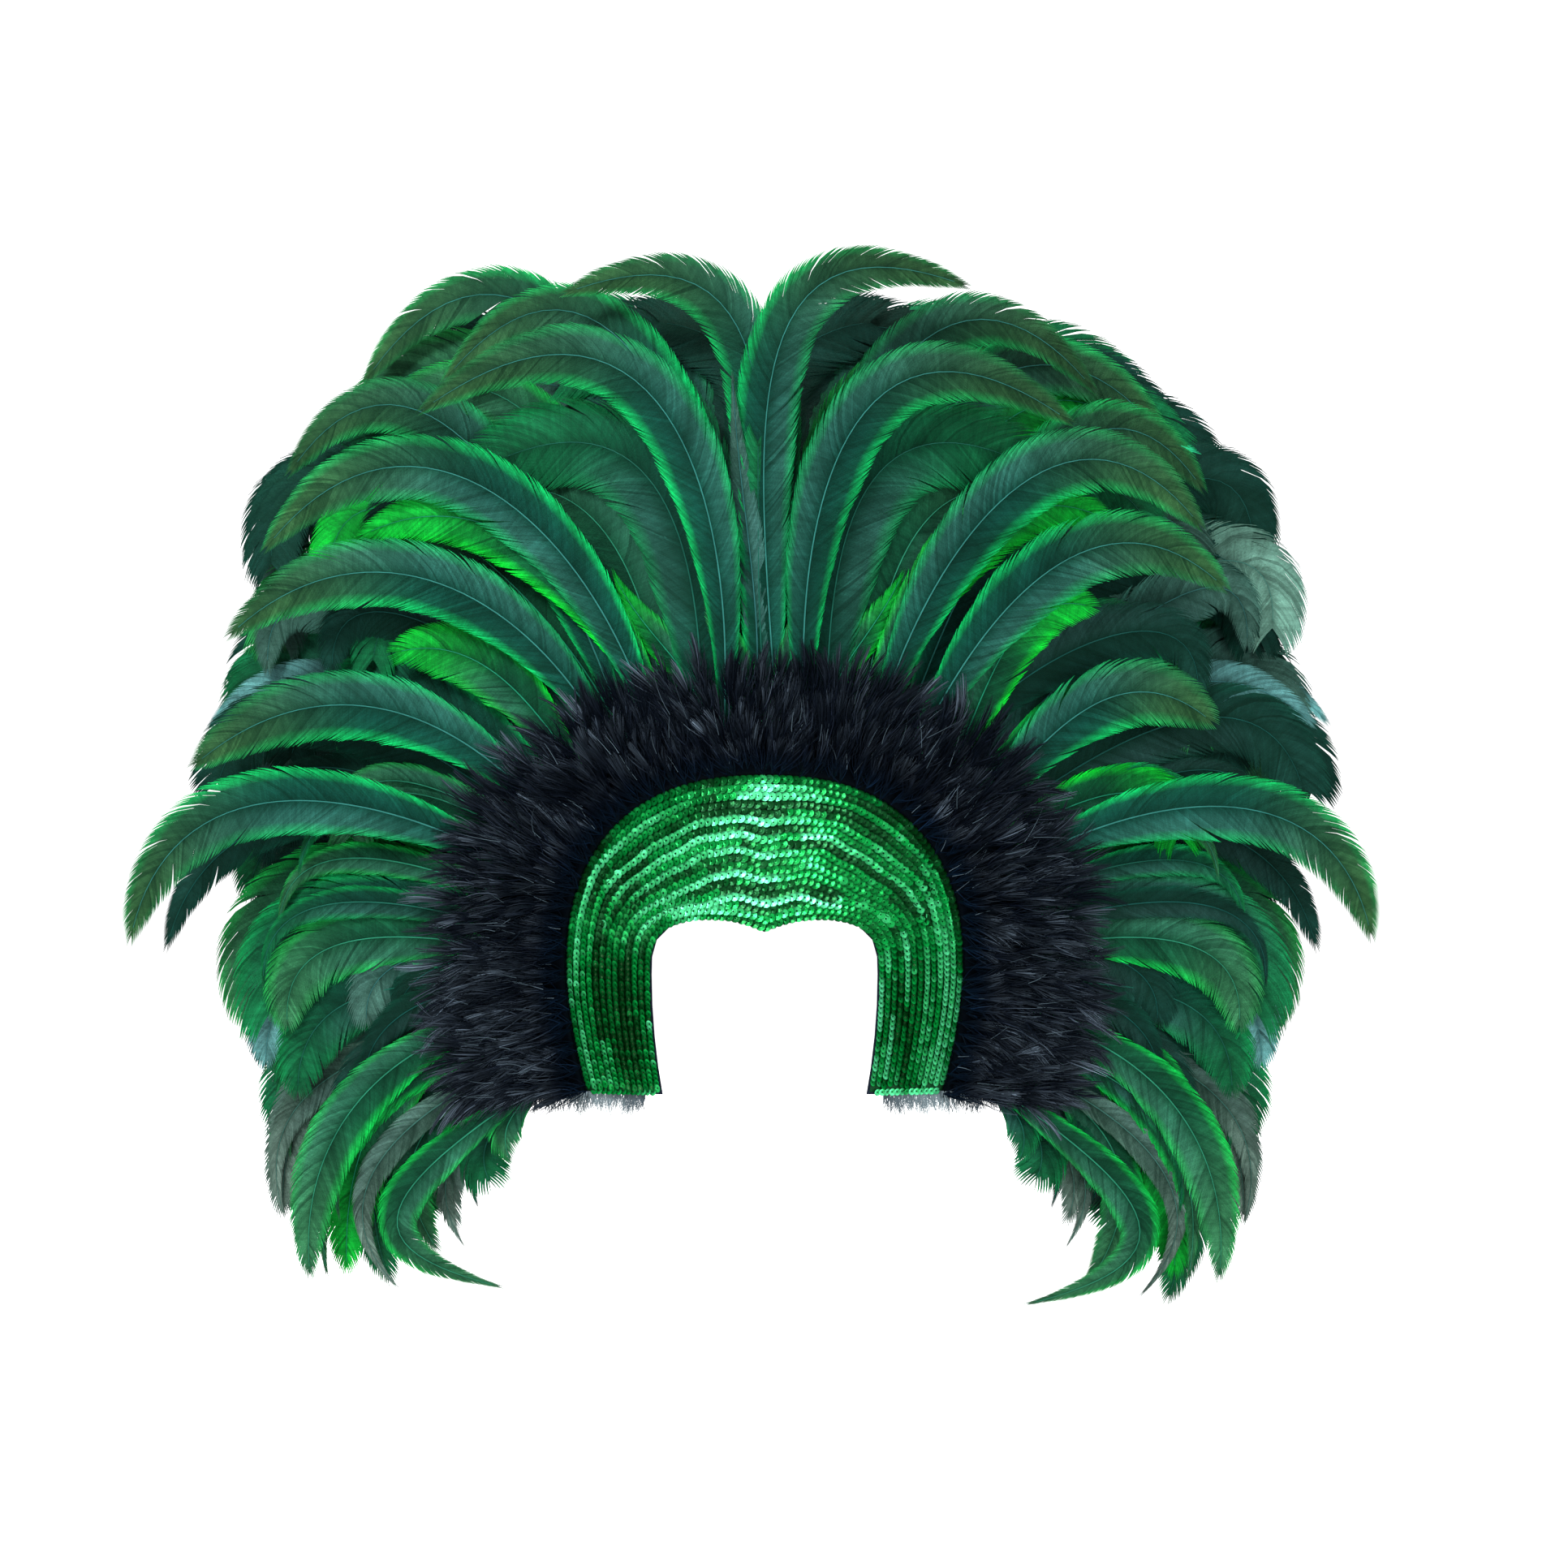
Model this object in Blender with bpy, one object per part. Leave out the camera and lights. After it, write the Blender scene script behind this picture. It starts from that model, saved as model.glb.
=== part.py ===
"""Carnival feather headdress: a sequinned arch on a felt base, a fur-like collar and a fan of sabre plumes.

Frame: metres, +Z up, the front faces -Y. The origin is where the wearer's brow meets the back of the
felt, at the tip of the widow's peak. Places round the arch are given as stations: 0 is the top, 90 the
side, and the legs run on from there at about the same length for each station. Right is +X.
"""

import math

import bmesh
import bpy

# Sequin panel and the opening for the face
PANEL_HALF_WIDTH = 0.1205
PANEL_RISE = 0.120
PANEL_SQUARENESS = 2.4
OPENING_HALF_WIDTH = 0.070
OPENING_RISE = 0.038
OPENING_SQUARENESS = 3.4
PEAK_DROP = 0.0105
PEAK_SPREAD = 0.020
LEG_DROP = 0.071
LEG_TAPER_OUTSIDE = 0.0125
LEG_TAPER_INSIDE = 0.0065
PANEL_THICKNESS = 0.0022
SEQUIN_ROWS = 12
ROW_RELIEF = 0.0013

# Felt base, and how it wraps round the head
FELT_THICKNESS = 0.003
FELT_MARGIN = 0.0016
BAND_CELLS = 4
SEAM_GAP = 0.0005
SWEEP = 0.34
SWEEP_START = 0.015
SWEEP_FULL = 0.060
SWEEP_EASES = 0.185
SWEEP_SETTLES = 0.260
SETTLED_SWEEP = 0.15
CROWN_LEAN = 0.15
CROWN_LEAN_START = -0.020
CROWN_LEAN_FULL = 0.060

# Stations
ARCH_STATIONS = 90.0
LEG_STATIONS = 34.0
STATION_STEP = 9.0
STATION_GAP = 0.15
LAST_STATION = ARCH_STATIONS + LEG_STATIONS
SECTORS = (("crown", 0.0, 27.5), ("shoulder", 27.5, 62.0), ("side", 62.0, 90.0), ("low", 90.0, LAST_STATION))

# Sewn strips that carry the plumes: (name, first layer, number of layers)
STRIPS = (("front", 0, 3), ("middle", 3, 4), ("back", 7, 3))
LAYERS = 10
STRIP_THICKNESS = 0.0012
STRIP_START = 0.0125
ROOT_PITCH = 0.0035
STACK_SLOPE = 0.43

# Plumes
HALF_SPAN = 0.387
CROWN_HEIGHT = 0.432
PLUME_WIDTH = 0.043
PLUME_THICKNESS = 0.0012
PLUME_GAP = 0.0003
PLUME_CAMBER = 0.10
FRONT_LEAN = 0.22
BACK_LEAN = -0.20
TIP_SWEEP = 0.32
BOW = 0.40

# Breadth of a plume along its length: (share of the length, share of the full width)
PLUME_SECTIONS = ((0.00, 0.09), (0.14, 0.36), (0.30, 0.78), (0.50, 1.00), (0.70, 0.90), (0.87, 0.55))

# Fur collar
FUR_LENGTH = 0.088
FUR_CROWN_SHARE = 0.80
FUR_TAPE_START = 0.0022
FUR_TAPE_WIDTH = 0.0085
FUR_DEPTH = 0.0095
FUR_LOCK_STATIONS = 4.0
FUR_LOCK_DIP = 0.62
FUR_CLEARANCE = 0.0027

# Plumes of the front strip, each a piece of its own. Headings in degrees: 0 up, 90 outward, 180 down.
# Tips are shares of HALF_SPAN across and CROWN_HEIGHT up from the arch's centre.
# (name, station, leaving heading, arriving heading, width share, bow,
#  left layer, left across, left up, right layer, right across, right up)
FRONT_PLUMES = (
    ("crest", 3.4, -3, 106, 1.00, 0.46, 2, 0.313, 0.965, 1, 0.314, 0.982),
    ("brow", 11.5, 1, 128, 1.00, 0.44, 0, 0.538, 0.802, 0, 0.478, 0.784),
    ("temple", 26.0, 18, 146, 1.05, 0.42, 1, 0.793, 0.609, 1, 0.691, 0.640),
    ("ear", 36.0, 24, 133, 1.05, 0.42, 0, 0.846, 0.482, 0, 0.725, 0.550),
    ("wing", 56.0, 42, 128, 1.05, 0.40, 1, 0.903, 0.297, 1, 0.706, 0.358),
    ("sweep", 68.0, 58, 168, 1.05, 0.46, 0, 1.000, 0.053, 0, 0.956, 0.057),
    ("bright_upper", 22.0, 19, 116, 1.00, 0.40, 2, 0.640, 0.625, 2, 0.545, 0.645),
    ("bright_lower", 44.0, 33, 104, 0.95, 0.38, 2, 0.585, 0.455, 2, 0.517, 0.520),
    ("cheek", 101.0, 97, 183, 1.05, 0.42, 1, 0.718, -0.424, 1, 0.718, -0.426),
    ("jaw", 118.0, 124, 258, 0.80, 0.86, 0, 0.418, -0.436, 0, 0.415, -0.460),
)

# Plumes of the middle strip, with the same columns
MIDDLE_PLUMES = (
    ("second_crest", 7.5, 0, 136, 1.00, 0.46, 4, 0.513, 0.859, 4, 0.527, 0.844),
    ("outer_crest", 15.0, 4, 138, 1.00, 0.46, 6, 0.653, 0.851, 6, 0.663, 0.759),
    ("broad_dark", 18.5, 4, 100, 1.20, 0.40, 3, 0.445, 0.770, 3, 0.420, 0.770),
    ("broad_green", 24.0, 8, 108, 1.15, 0.40, 5, 0.520, 0.720, 5, 0.480, 0.715),
    ("high_edge", 31.0, 20, 142, 1.00, 0.44, 4, 0.769, 0.726, 4, 0.705, 0.700),
    ("hanging_edge", 34.5, 26, 184, 1.15, 0.48, 6, 0.807, 0.590, 6, 0.795, 0.490),
    ("hanging_inner", 40.0, 30, 183, 1.00, 0.46, 3, 0.693, 0.431, 3, 0.693, 0.398),
    ("hanging_outer", 47.0, 40, 184, 1.00, 0.46, 5, 0.805, 0.437, 5, 0.780, 0.470),
    ("pale_point", 52.0, 50, 132, 0.75, 0.40, 6, 0.896, 0.357, 6, 0.887, 0.357),
    ("broad_wing", 57.5, 52, 164, 1.05, 0.44, 4, 0.880, 0.268, 4, 0.863, 0.263),
    ("dark_point", 66.0, 60, 165, 0.75, 0.44, 5, 0.963, 0.037, 5, 0.884, 0.038),
    ("pale_edge", 73.0, 68, 190, 1.15, 0.46, 6, 0.821, -0.041, 6, 0.804, -0.041),
    ("slate_side", 79.0, 74, 186, 1.15, 0.46, 4, 0.790, -0.060, 4, 0.785, -0.060),
    ("green_side", 85.0, 80, 184, 1.05, 0.44, 3, 0.760, -0.075, 3, 0.755, -0.075),
    ("teal_side", 89.0, 83, 180, 1.00, 0.44, 5, 0.800, -0.130, 5, 0.796, -0.130),
    ("dark_side", 93.5, 88, 180, 1.05, 0.44, 4, 0.745, -0.170, 4, 0.745, -0.170),
    ("grey_edge", 97.5, 93, 180, 0.95, 0.44, 6, 0.776, -0.347, 6, 0.769, -0.352),
    ("green_low", 104.0, 100, 182, 1.00, 0.44, 3, 0.664, -0.420, 3, 0.650, -0.425),
    ("slate_low", 109.0, 106, 200, 1.00, 0.46, 5, 0.600, -0.436, 5, 0.645, -0.464),
    ("thin_low", 114.0, 116, 214, 0.65, 0.52, 3, 0.520, -0.390, 3, 0.513, -0.440),
    ("grey_low", 120.0, 138, 202, 0.50, 0.40, 5, 0.490, -0.360, 5, 0.480, -0.350),
)

# Plumes whose quills are nearer the centre line than this may spread across it
CENTRE_PLUME_REACH = 0.0045

# Line of the fan's back plumes: (station, leaving heading, arriving heading, across, up)
FAN_GUIDES = (
    (0.0, 0, 70, 0.130, 0.900),
    (10.0, 3, 120, 0.420, 0.850),
    (25.0, 14, 140, 0.690, 0.680),
    (40.0, 32, 150, 0.770, 0.520),
    (55.0, 48, 156, 0.830, 0.300),
    (70.0, 62, 172, 0.820, 0.080),
    (85.0, 78, 182, 0.760, -0.090),
    (100.0, 94, 184, 0.700, -0.280),
    (112.0, 110, 194, 0.600, -0.370),
    (124.0, 140, 205, 0.460, -0.350),
)
BACK_PLUMES_PER_LAYER = 6
BACK_PLUME_WIDTHS = (1.70, 1.55, 1.80)

# Upright plumes between the two halves of the fan, on the right middle strip only
CENTRE_PLUMES = (
    ("centre_leaf", 1.3, -4, -1, 0.62, 0.40, 3, 0.0, 0.730, 3, 0.0, 0.730),
    ("centre_spire", 1.3, -3, 0, 0.55, 0.40, 6, 0.0, 0.880, 6, 0.0, 0.880),
)

FELT_NAVY = (0.010, 0.014, 0.030)
SEQUIN_GREEN = (0.010, 0.330, 0.070)
FUR_NAVY = (0.008, 0.009, 0.018)
PLUME_GREEN = (0.008, 0.130, 0.055)
PLUME_BRIGHT = (0.010, 0.300, 0.060)
PLUME_DARK = (0.006, 0.060, 0.036)
STRIP_BLACK = (0.012, 0.014, 0.016)


def clear_scene():
    for obj in list(bpy.data.objects):
        bpy.data.objects.remove(obj)


def make_collection(name):
    found = bpy.data.collections.new(name)
    bpy.context.scene.collection.children.link(found)
    return found


def make_material(name, colour, roughness, metallic=0.0):
    material = bpy.data.materials.new(name)
    material.use_nodes = True
    shader = material.node_tree.nodes["Principled BSDF"]
    shader.inputs["Base Color"].default_value = (*colour, 1.0)
    shader.inputs["Roughness"].default_value = roughness
    shader.inputs["Metallic"].default_value = metallic
    return material


def arch_centre():
    """Height of the arch's centre, which puts the tip of the widow's peak at the origin."""
    return PEAK_DROP - OPENING_RISE


def squared_radius(angle, half_width, rise, squareness):
    """Distance from the centre to a squared-off ellipse, at an angle from straight up."""
    across = (abs(math.sin(angle)) / half_width) ** squareness
    up = (abs(math.cos(angle)) / rise) ** squareness
    return (across + up) ** (-1.0 / squareness)


def panel_edge(station, outward=0.0):
    """(x, z) on the panel's outer edge at a signed station, moved outward."""
    side, place = math.copysign(1.0, station), abs(station)
    if place <= ARCH_STATIONS:
        angle = math.radians(place)
        radius = squared_radius(angle, PANEL_HALF_WIDTH, PANEL_RISE, PANEL_SQUARENESS) + outward
        return side * radius * math.sin(angle), arch_centre() + radius * math.cos(angle)
    down = (place - ARCH_STATIONS) / LEG_STATIONS
    across = PANEL_HALF_WIDTH - LEG_TAPER_OUTSIDE * down**1.6 + outward
    return side * across, arch_centre() - LEG_DROP * down


def opening_edge(station, inward=0.0):
    """(x, z) on the edge of the face opening at a signed station, moved inward."""
    side, place = math.copysign(1.0, station), abs(station)
    if place <= ARCH_STATIONS:
        angle = math.radians(place)
        radius = squared_radius(angle, OPENING_HALF_WIDTH, OPENING_RISE, OPENING_SQUARENESS) - inward
        across = radius * math.sin(angle)
        peak = PEAK_DROP * math.exp(-across / PEAK_SPREAD)
        return side * across, arch_centre() + radius * math.cos(angle) - peak
    down = (place - ARCH_STATIONS) / LEG_STATIONS
    across = OPENING_HALF_WIDTH - LEG_TAPER_INSIDE * down**2 - inward
    return side * across, arch_centre() - LEG_DROP * down


def distance_outside(x, z):
    """How far a point lies outside the panel's outer edge, in the front plane."""
    up = z - arch_centre()
    if up >= 0.0:
        angle = math.atan2(abs(x), up)
        return math.hypot(x, up) - squared_radius(angle, PANEL_HALF_WIDTH, PANEL_RISE, PANEL_SQUARENESS)
    down = min(-up / LEG_DROP, 1.0)
    edge = PANEL_HALF_WIDTH - LEG_TAPER_OUTSIDE * down**1.6
    below = max(-up - LEG_DROP, 0.0)
    return math.hypot(abs(x) - edge, below)


def sweep_back(x):
    """How far the headdress wraps backward at a distance from the centre line."""
    across = abs(x)
    if across <= SWEEP_START:
        return 0.0
    if across <= SWEEP_FULL:
        return SWEEP * (across - SWEEP_START) ** 2 / (2 * (SWEEP_FULL - SWEEP_START))
    reached = SWEEP * (SWEEP_FULL - SWEEP_START) / 2
    if across <= SWEEP_EASES:
        return reached + SWEEP * (across - SWEEP_FULL)
    reached += SWEEP * (SWEEP_EASES - SWEEP_FULL)
    past = min(across, SWEEP_SETTLES) - SWEEP_EASES
    eased = (SWEEP - SETTLED_SWEEP) * past**2 / (2 * (SWEEP_SETTLES - SWEEP_EASES))
    return reached + SWEEP * past - eased + SETTLED_SWEEP * max(across - SWEEP_SETTLES, 0.0)


def lean_back(z):
    """How far the crown leans backward at a height."""
    if z <= CROWN_LEAN_START:
        return 0.0
    span = CROWN_LEAN_FULL - CROWN_LEAN_START
    past = min(z, CROWN_LEAN_FULL) - CROWN_LEAN_START
    return CROWN_LEAN * (past**2 / (2 * span) + max(z - CROWN_LEAN_FULL, 0.0))


def on_felt(x, z, height=0.0):
    """The point at a height in front of the felt's front face, which runs on past its edge."""
    return (x, sweep_back(x) + lean_back(z) - FELT_THICKNESS - height, z)


def strip_of(layer):
    return next(s for s in STRIPS if s[1] <= layer < s[1] + s[2])


def strip_span(strip):
    """Distances of a strip's two edges outside the panel."""
    rows_before = sum(s[2] + 1 for s in STRIPS[: STRIPS.index(strip)])
    start = STRIP_START + ROOT_PITCH * rows_before
    return start, start + ROOT_PITCH * (strip[2] + 1) - 2 * SEAM_GAP


def felt_edge():
    """How far the felt reaches outside the panel."""
    return strip_span(STRIPS[-1])[1] + FELT_MARGIN


def root_distance(layer):
    strip = strip_of(layer)
    return strip_span(strip)[0] + ROOT_PITCH * (layer - strip[1] + 0.4)


def seat_height(layer):
    """Height of a plume's quill at its root: in the strip, or lying on it in the front strip."""
    if strip_of(layer)[0] == "front":
        return SEAM_GAP + STRIP_THICKNESS + PLUME_GAP + PLUME_THICKNESS / 2
    return SEAM_GAP + STRIP_THICKNESS / 2


def layer_height(layer, distance):
    """Height of a layer of plumes: it rises over the strips further out, then fans forward or back."""
    start, end = root_distance(layer), root_distance(LAYERS - 1)
    rise = STACK_SLOPE * (min(max(distance, start), end) - start)
    beyond = max(distance - felt_edge() - PLUME_GAP, 0.0)
    lean = FRONT_LEAN + (BACK_LEAN - FRONT_LEAN) * layer / (LAYERS - 1)
    return seat_height(layer) + rise + lean * beyond - TIP_SWEEP * beyond**2


def in_layer(layer, x, z, proud=0.0):
    return on_felt(x, z, layer_height(layer, distance_outside(x, z)) + proud)


def loft(rings, tip=None):
    """Mesh through rings of points with the same count, closed by a face at each end or by a tip point."""
    mesh = bmesh.new()
    loops = [[mesh.verts.new(point) for point in ring] for ring in rings]
    for ring, following in zip(loops, loops[1:]):
        for i in range(len(ring)):
            j = (i + 1) % len(ring)
            mesh.faces.new((ring[i], ring[j], following[j], following[i]))
    mesh.faces.new(reversed(loops[0]))
    if tip is None:
        mesh.faces.new(loops[-1])
    else:
        apex = mesh.verts.new(tip)
        for i in range(len(loops[-1])):
            mesh.faces.new((loops[-1][i], loops[-1][(i + 1) % len(loops[-1])], apex))
    return mesh


def plate(grid, depth):
    """Mesh of a sheet through a grid of points, extruded backward by its depth."""
    mesh = bmesh.new()
    rows = [[mesh.verts.new(point) for point in row] for row in grid]
    for row, following in zip(rows, rows[1:]):
        for i in range(len(row) - 1):
            mesh.faces.new((row[i], row[i + 1], following[i + 1], following[i]))
    back = bmesh.ops.extrude_face_region(mesh, geom=mesh.faces[:])["geom"]
    moved = [element for element in back if isinstance(element, bmesh.types.BMVert)]
    bmesh.ops.translate(mesh, vec=(0.0, depth, 0.0), verts=moved)
    return mesh


def add_object(name, mesh, material, collection):
    bmesh.ops.triangulate(mesh, faces=mesh.faces[:])
    bmesh.ops.recalc_face_normals(mesh, faces=mesh.faces[:])
    data = bpy.data.meshes.new(name)
    mesh.to_mesh(data)
    mesh.free()
    data.materials.append(material)
    obj = bpy.data.objects.new(name, data)
    collection.objects.link(obj)
    return obj


def fuse(base, guides, collection):
    """Joins plumes to the strip that carries them."""
    for guide in guides:
        guide.hide_render = True
        guide.display_type = "WIRE"
        collection.objects.link(guide)
        union = base.modifiers.new(f"fuse_{guide.name}", "BOOLEAN")
        union.operation = "UNION"
        union.solver = "EXACT"
        union.object = guide


def stations_between(first, last):
    """Stations from first to last, with each one at a whole step between them."""
    low, high = min(first, last), max(first, last)
    steps = [STATION_STEP * i for i in range(math.ceil(low / STATION_STEP), math.floor(high / STATION_STEP) + 1)]
    inner = [s for s in steps if low + STATION_STEP / 4 < s < high - STATION_STEP / 4]
    return [low, *inner, high]


def across_band(station, cells):
    """(x, z) of points from the opening's edge to the panel's outer edge."""
    inside, outside = opening_edge(station), panel_edge(station)
    return [[a + (b - a) * i / cells for a, b in zip(inside, outside)] for i in range(cells + 1)]


def felt_base(material, collection):
    """The felt arch that everything is sewn to, a little larger than the panel and the strips."""
    outer_cells = 3
    end = LAST_STATION + LEG_STATIONS * FELT_MARGIN / LEG_DROP
    grid = []
    for station in stations_between(-end, end):
        line = [opening_edge(station, FELT_MARGIN), *across_band(station, BAND_CELLS)]
        line += [panel_edge(station, felt_edge() * (i + 1) / outer_cells) for i in range(outer_cells)]
        grid.append([on_felt(x, z) for x, z in line])
    return add_object("felt_base", plate(grid, FELT_THICKNESS), material, collection)


def sequin_panel(material, collection):
    """Strings of sequins sewn side by side round the arch, each one a low ridge."""
    rings = []
    for station in stations_between(-LAST_STATION, LAST_STATION):
        front = [
            on_felt(x, z, SEAM_GAP + PANEL_THICKNESS + ROW_RELIEF * (i % 2))
            for i, (x, z) in enumerate(across_band(station, 2 * SEQUIN_ROWS))
        ]
        back = [on_felt(x, z, SEAM_GAP) for x, z in reversed(across_band(station, BAND_CELLS))]
        rings.append(front + back)
    return add_object("sequin_panel", loft(rings), material, collection)


def fur_length(station, lock):
    """Length of the fur at a station: shorter over the crown, with long and short locks."""
    place = min(abs(station) / 60.0, 1.0)
    length = FUR_LENGTH * (FUR_CROWN_SHARE + (1 - FUR_CROWN_SHARE) * place)
    if lock % 2:
        return length * FUR_LOCK_DIP
    return length * (1.0 - 0.10 * (lock % 4 == 2) - 0.05 * (lock % 6 == 4))


def fur_section(station, lock):
    """Points round the fur at a station: the sewn tape, the underside over the quills, the outer face."""
    start, end = FUR_TAPE_START, FUR_TAPE_START + FUR_TAPE_WIDTH
    last = root_distance(LAYERS - 1)
    tip = last * 0.5 + fur_length(station, lock) * 0.72
    depth = FUR_DEPTH * (0.62 if lock % 2 else 1.0)
    clear = PLUME_THICKNESS / 2 + FUR_CLEARANCE
    lift = clear + 0.002

    def under(distance):
        return layer_height(0, distance) + clear

    profile = [
        (start, SEAM_GAP),
        (end, SEAM_GAP),
        (root_distance(0) - 0.0006, under(0.0)),
        (last, under(last)),
        (max(tip, last + 0.004), under(max(tip, last + 0.004))),
        (max(tip, last + 0.004), under(max(tip, last + 0.004)) + 0.0012),
        (last * 0.86, under(last * 0.86) + depth),
        (last * 0.42, under(last * 0.42) + depth * 0.95),
        (start, PANEL_THICKNESS + lift),
    ]
    return [on_felt(*panel_edge(station, distance), height) for distance, height in profile]


def fur_collar(material, collection):
    """The collar of short fluffy feathers in locks round the panel, in five sewn lengths."""
    crown, shoulder = 36.0, 84.0
    spans = (
        ("fur_collar_crown", -crown, crown),
        ("fur_collar_shoulder_right", crown, shoulder),
        ("fur_collar_shoulder_left", -shoulder, -crown),
        ("fur_collar_leg_right", shoulder, LAST_STATION + 2.0),
        ("fur_collar_leg_left", -LAST_STATION - 2.0, -shoulder),
    )
    for name, first, last in spans:
        columns = 2 * round((last - first) / (2 * FUR_LOCK_STATIONS))
        first, last = first + STATION_GAP * 1.5, last - STATION_GAP * 1.5
        rings = []
        for i in range(columns + 1):
            rings.append(fur_section(first + (last - first) * i / columns, i + 1))
        add_object(name, loft(rings), material, collection)


def strip_mesh(strip, side, first, last):
    """A flat tape round the arch between two stations."""
    start, end = strip_span(strip)
    low, high = SEAM_GAP, SEAM_GAP + STRIP_THICKNESS
    rings = []
    for station in stations_between(side * (first + STATION_GAP), side * (last - STATION_GAP)):
        inner, outer = panel_edge(station, start), panel_edge(station, end)
        rings.append([on_felt(*inner, low), on_felt(*outer, low), on_felt(*outer, high), on_felt(*inner, high)])
    return loft(rings)


def heading_vector(heading, side):
    angle = math.radians(heading)
    return side * math.sin(angle), math.cos(angle)


def plume_line(root, tip, leave, arrive, bow, side):
    """The quill's line in the front plane as a function: a cubic curve with a heading at each end."""
    chord = math.hypot(tip[0] - root[0], tip[1] - root[1])
    out, back = heading_vector(leave, side), heading_vector(arrive, side)
    near = [r + bow * chord * h for r, h in zip(root, out)]
    far = [t - bow * chord * h for t, h in zip(tip, back)]

    def point(share):
        rest = 1.0 - share
        weights = (rest**3, 3 * rest**2 * share, 3 * rest * share**2, share**3)
        return [sum(w * p[i] for w, p in zip(weights, (root, near, far, tip))) for i in range(2)]

    return point


def crossing_share(point, distance):
    """The share of the line at which it gets a distance outside the panel, found by halving."""
    low, high = 0.0, 0.5
    for _ in range(24):
        middle = (low + high) / 2
        if distance_outside(*point(middle)) < distance:
            low = middle
        else:
            high = middle
    return (low + high) / 2


def breadth_at(share):
    """Share of the full width at a share of the length, read from the sections."""
    sections = (*PLUME_SECTIONS, (1.0, 0.0))
    for (s0, w0), (s1, w1) in zip(sections, sections[1:]):
        if share <= s1:
            return w0 + (w1 - w0) * (share - s0) / (s1 - s0)
    return 0.0


def beside(edge, quill):
    """Keeps a plume's edge on its quill's side of the centre line, where the two halves of the fan meet."""
    if abs(quill) < CENTRE_PLUME_REACH:
        return edge
    side = math.copysign(1.0, quill)
    return side * max(side * edge, PLUME_GAP)


def plume_mesh(point, layer, width):
    """A cambered blade with a raised quill line, lofted through lens-shaped sections."""
    bend = crossing_share(point, root_distance(LAYERS - 1))
    shares = [share for share, _ in PLUME_SECTIONS if abs(share - bend) > 0.05 or share == 0.0]
    if bend > 0.02:
        shares = sorted([*shares, bend])
    step = 0.005
    rings = []
    for share in shares:
        x, z = point(share)
        ahead, behind = point(share + step), point(max(share - step, 0.0))
        along = (ahead[0] - behind[0], ahead[1] - behind[1])
        length = math.hypot(*along)
        half = width * breadth_at(share) / 2
        across = (-along[1] / length * half, along[0] / length * half)
        camber = PLUME_CAMBER * half
        thick = PLUME_THICKNESS / 2
        edges = [(beside(x + sign * across[0], x), z + sign * across[1]) for sign in (1, -1)]
        rings.append([
            in_layer(layer, *edges[0]),
            in_layer(layer, x, z, camber + thick),
            in_layer(layer, *edges[1]),
            in_layer(layer, x, z, camber - thick),
        ])
    return loft(rings, in_layer(layer, *point(1.0)))


def plume_of(row, side):
    """(layer, mesh, station) of a plume from its row in a table."""
    _, station, leave, arrive, share, bow, *ends = row
    layer, across, up = ends[3:] if side > 0 else ends[:3]
    root = panel_edge(side * station, root_distance(layer))
    tip = (side * across * HALF_SPAN, arch_centre() + up * CROWN_HEIGHT)
    point = plume_line(root, tip, leave, arrive, bow, side)
    return layer, plume_mesh(point, layer, share * PLUME_WIDTH), station


def between_guides(station):
    """The fan's line at a station, between the two guides next to it."""
    for low, high in zip(FAN_GUIDES, FAN_GUIDES[1:]):
        if station <= high[0]:
            share = (station - low[0]) / (high[0] - low[0])
            return [a + (b - a) * share for a, b in zip(low[1:], high[1:])]
    return list(FAN_GUIDES[-1][1:])


def back_rows(side):
    """Rows for the back strip's plumes, spread evenly and staggered from layer to layer."""
    _, first_layer, layers = STRIPS[-1]
    rows = []
    for i in range(layers):
        for k in range(BACK_PLUMES_PER_LAYER):
            place = (k + (i + 0.5) / layers) / BACK_PLUMES_PER_LAYER
            station = LAST_STATION * place
            leave, arrive, across, up = between_guides(station)
            reach = 1.0 - 0.05 * ((k * 2 + i) % 3) + (0.02 if side > 0 else 0.0)
            layer = first_layer + i
            ends = (layer, across * reach, up * reach)
            width = BACK_PLUME_WIDTHS[(k + i) % len(BACK_PLUME_WIDTHS)]
            rows.append((f"back_{i}_{k}", station, leave, arrive, width, BOW, *ends, *ends))
    return rows


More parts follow.
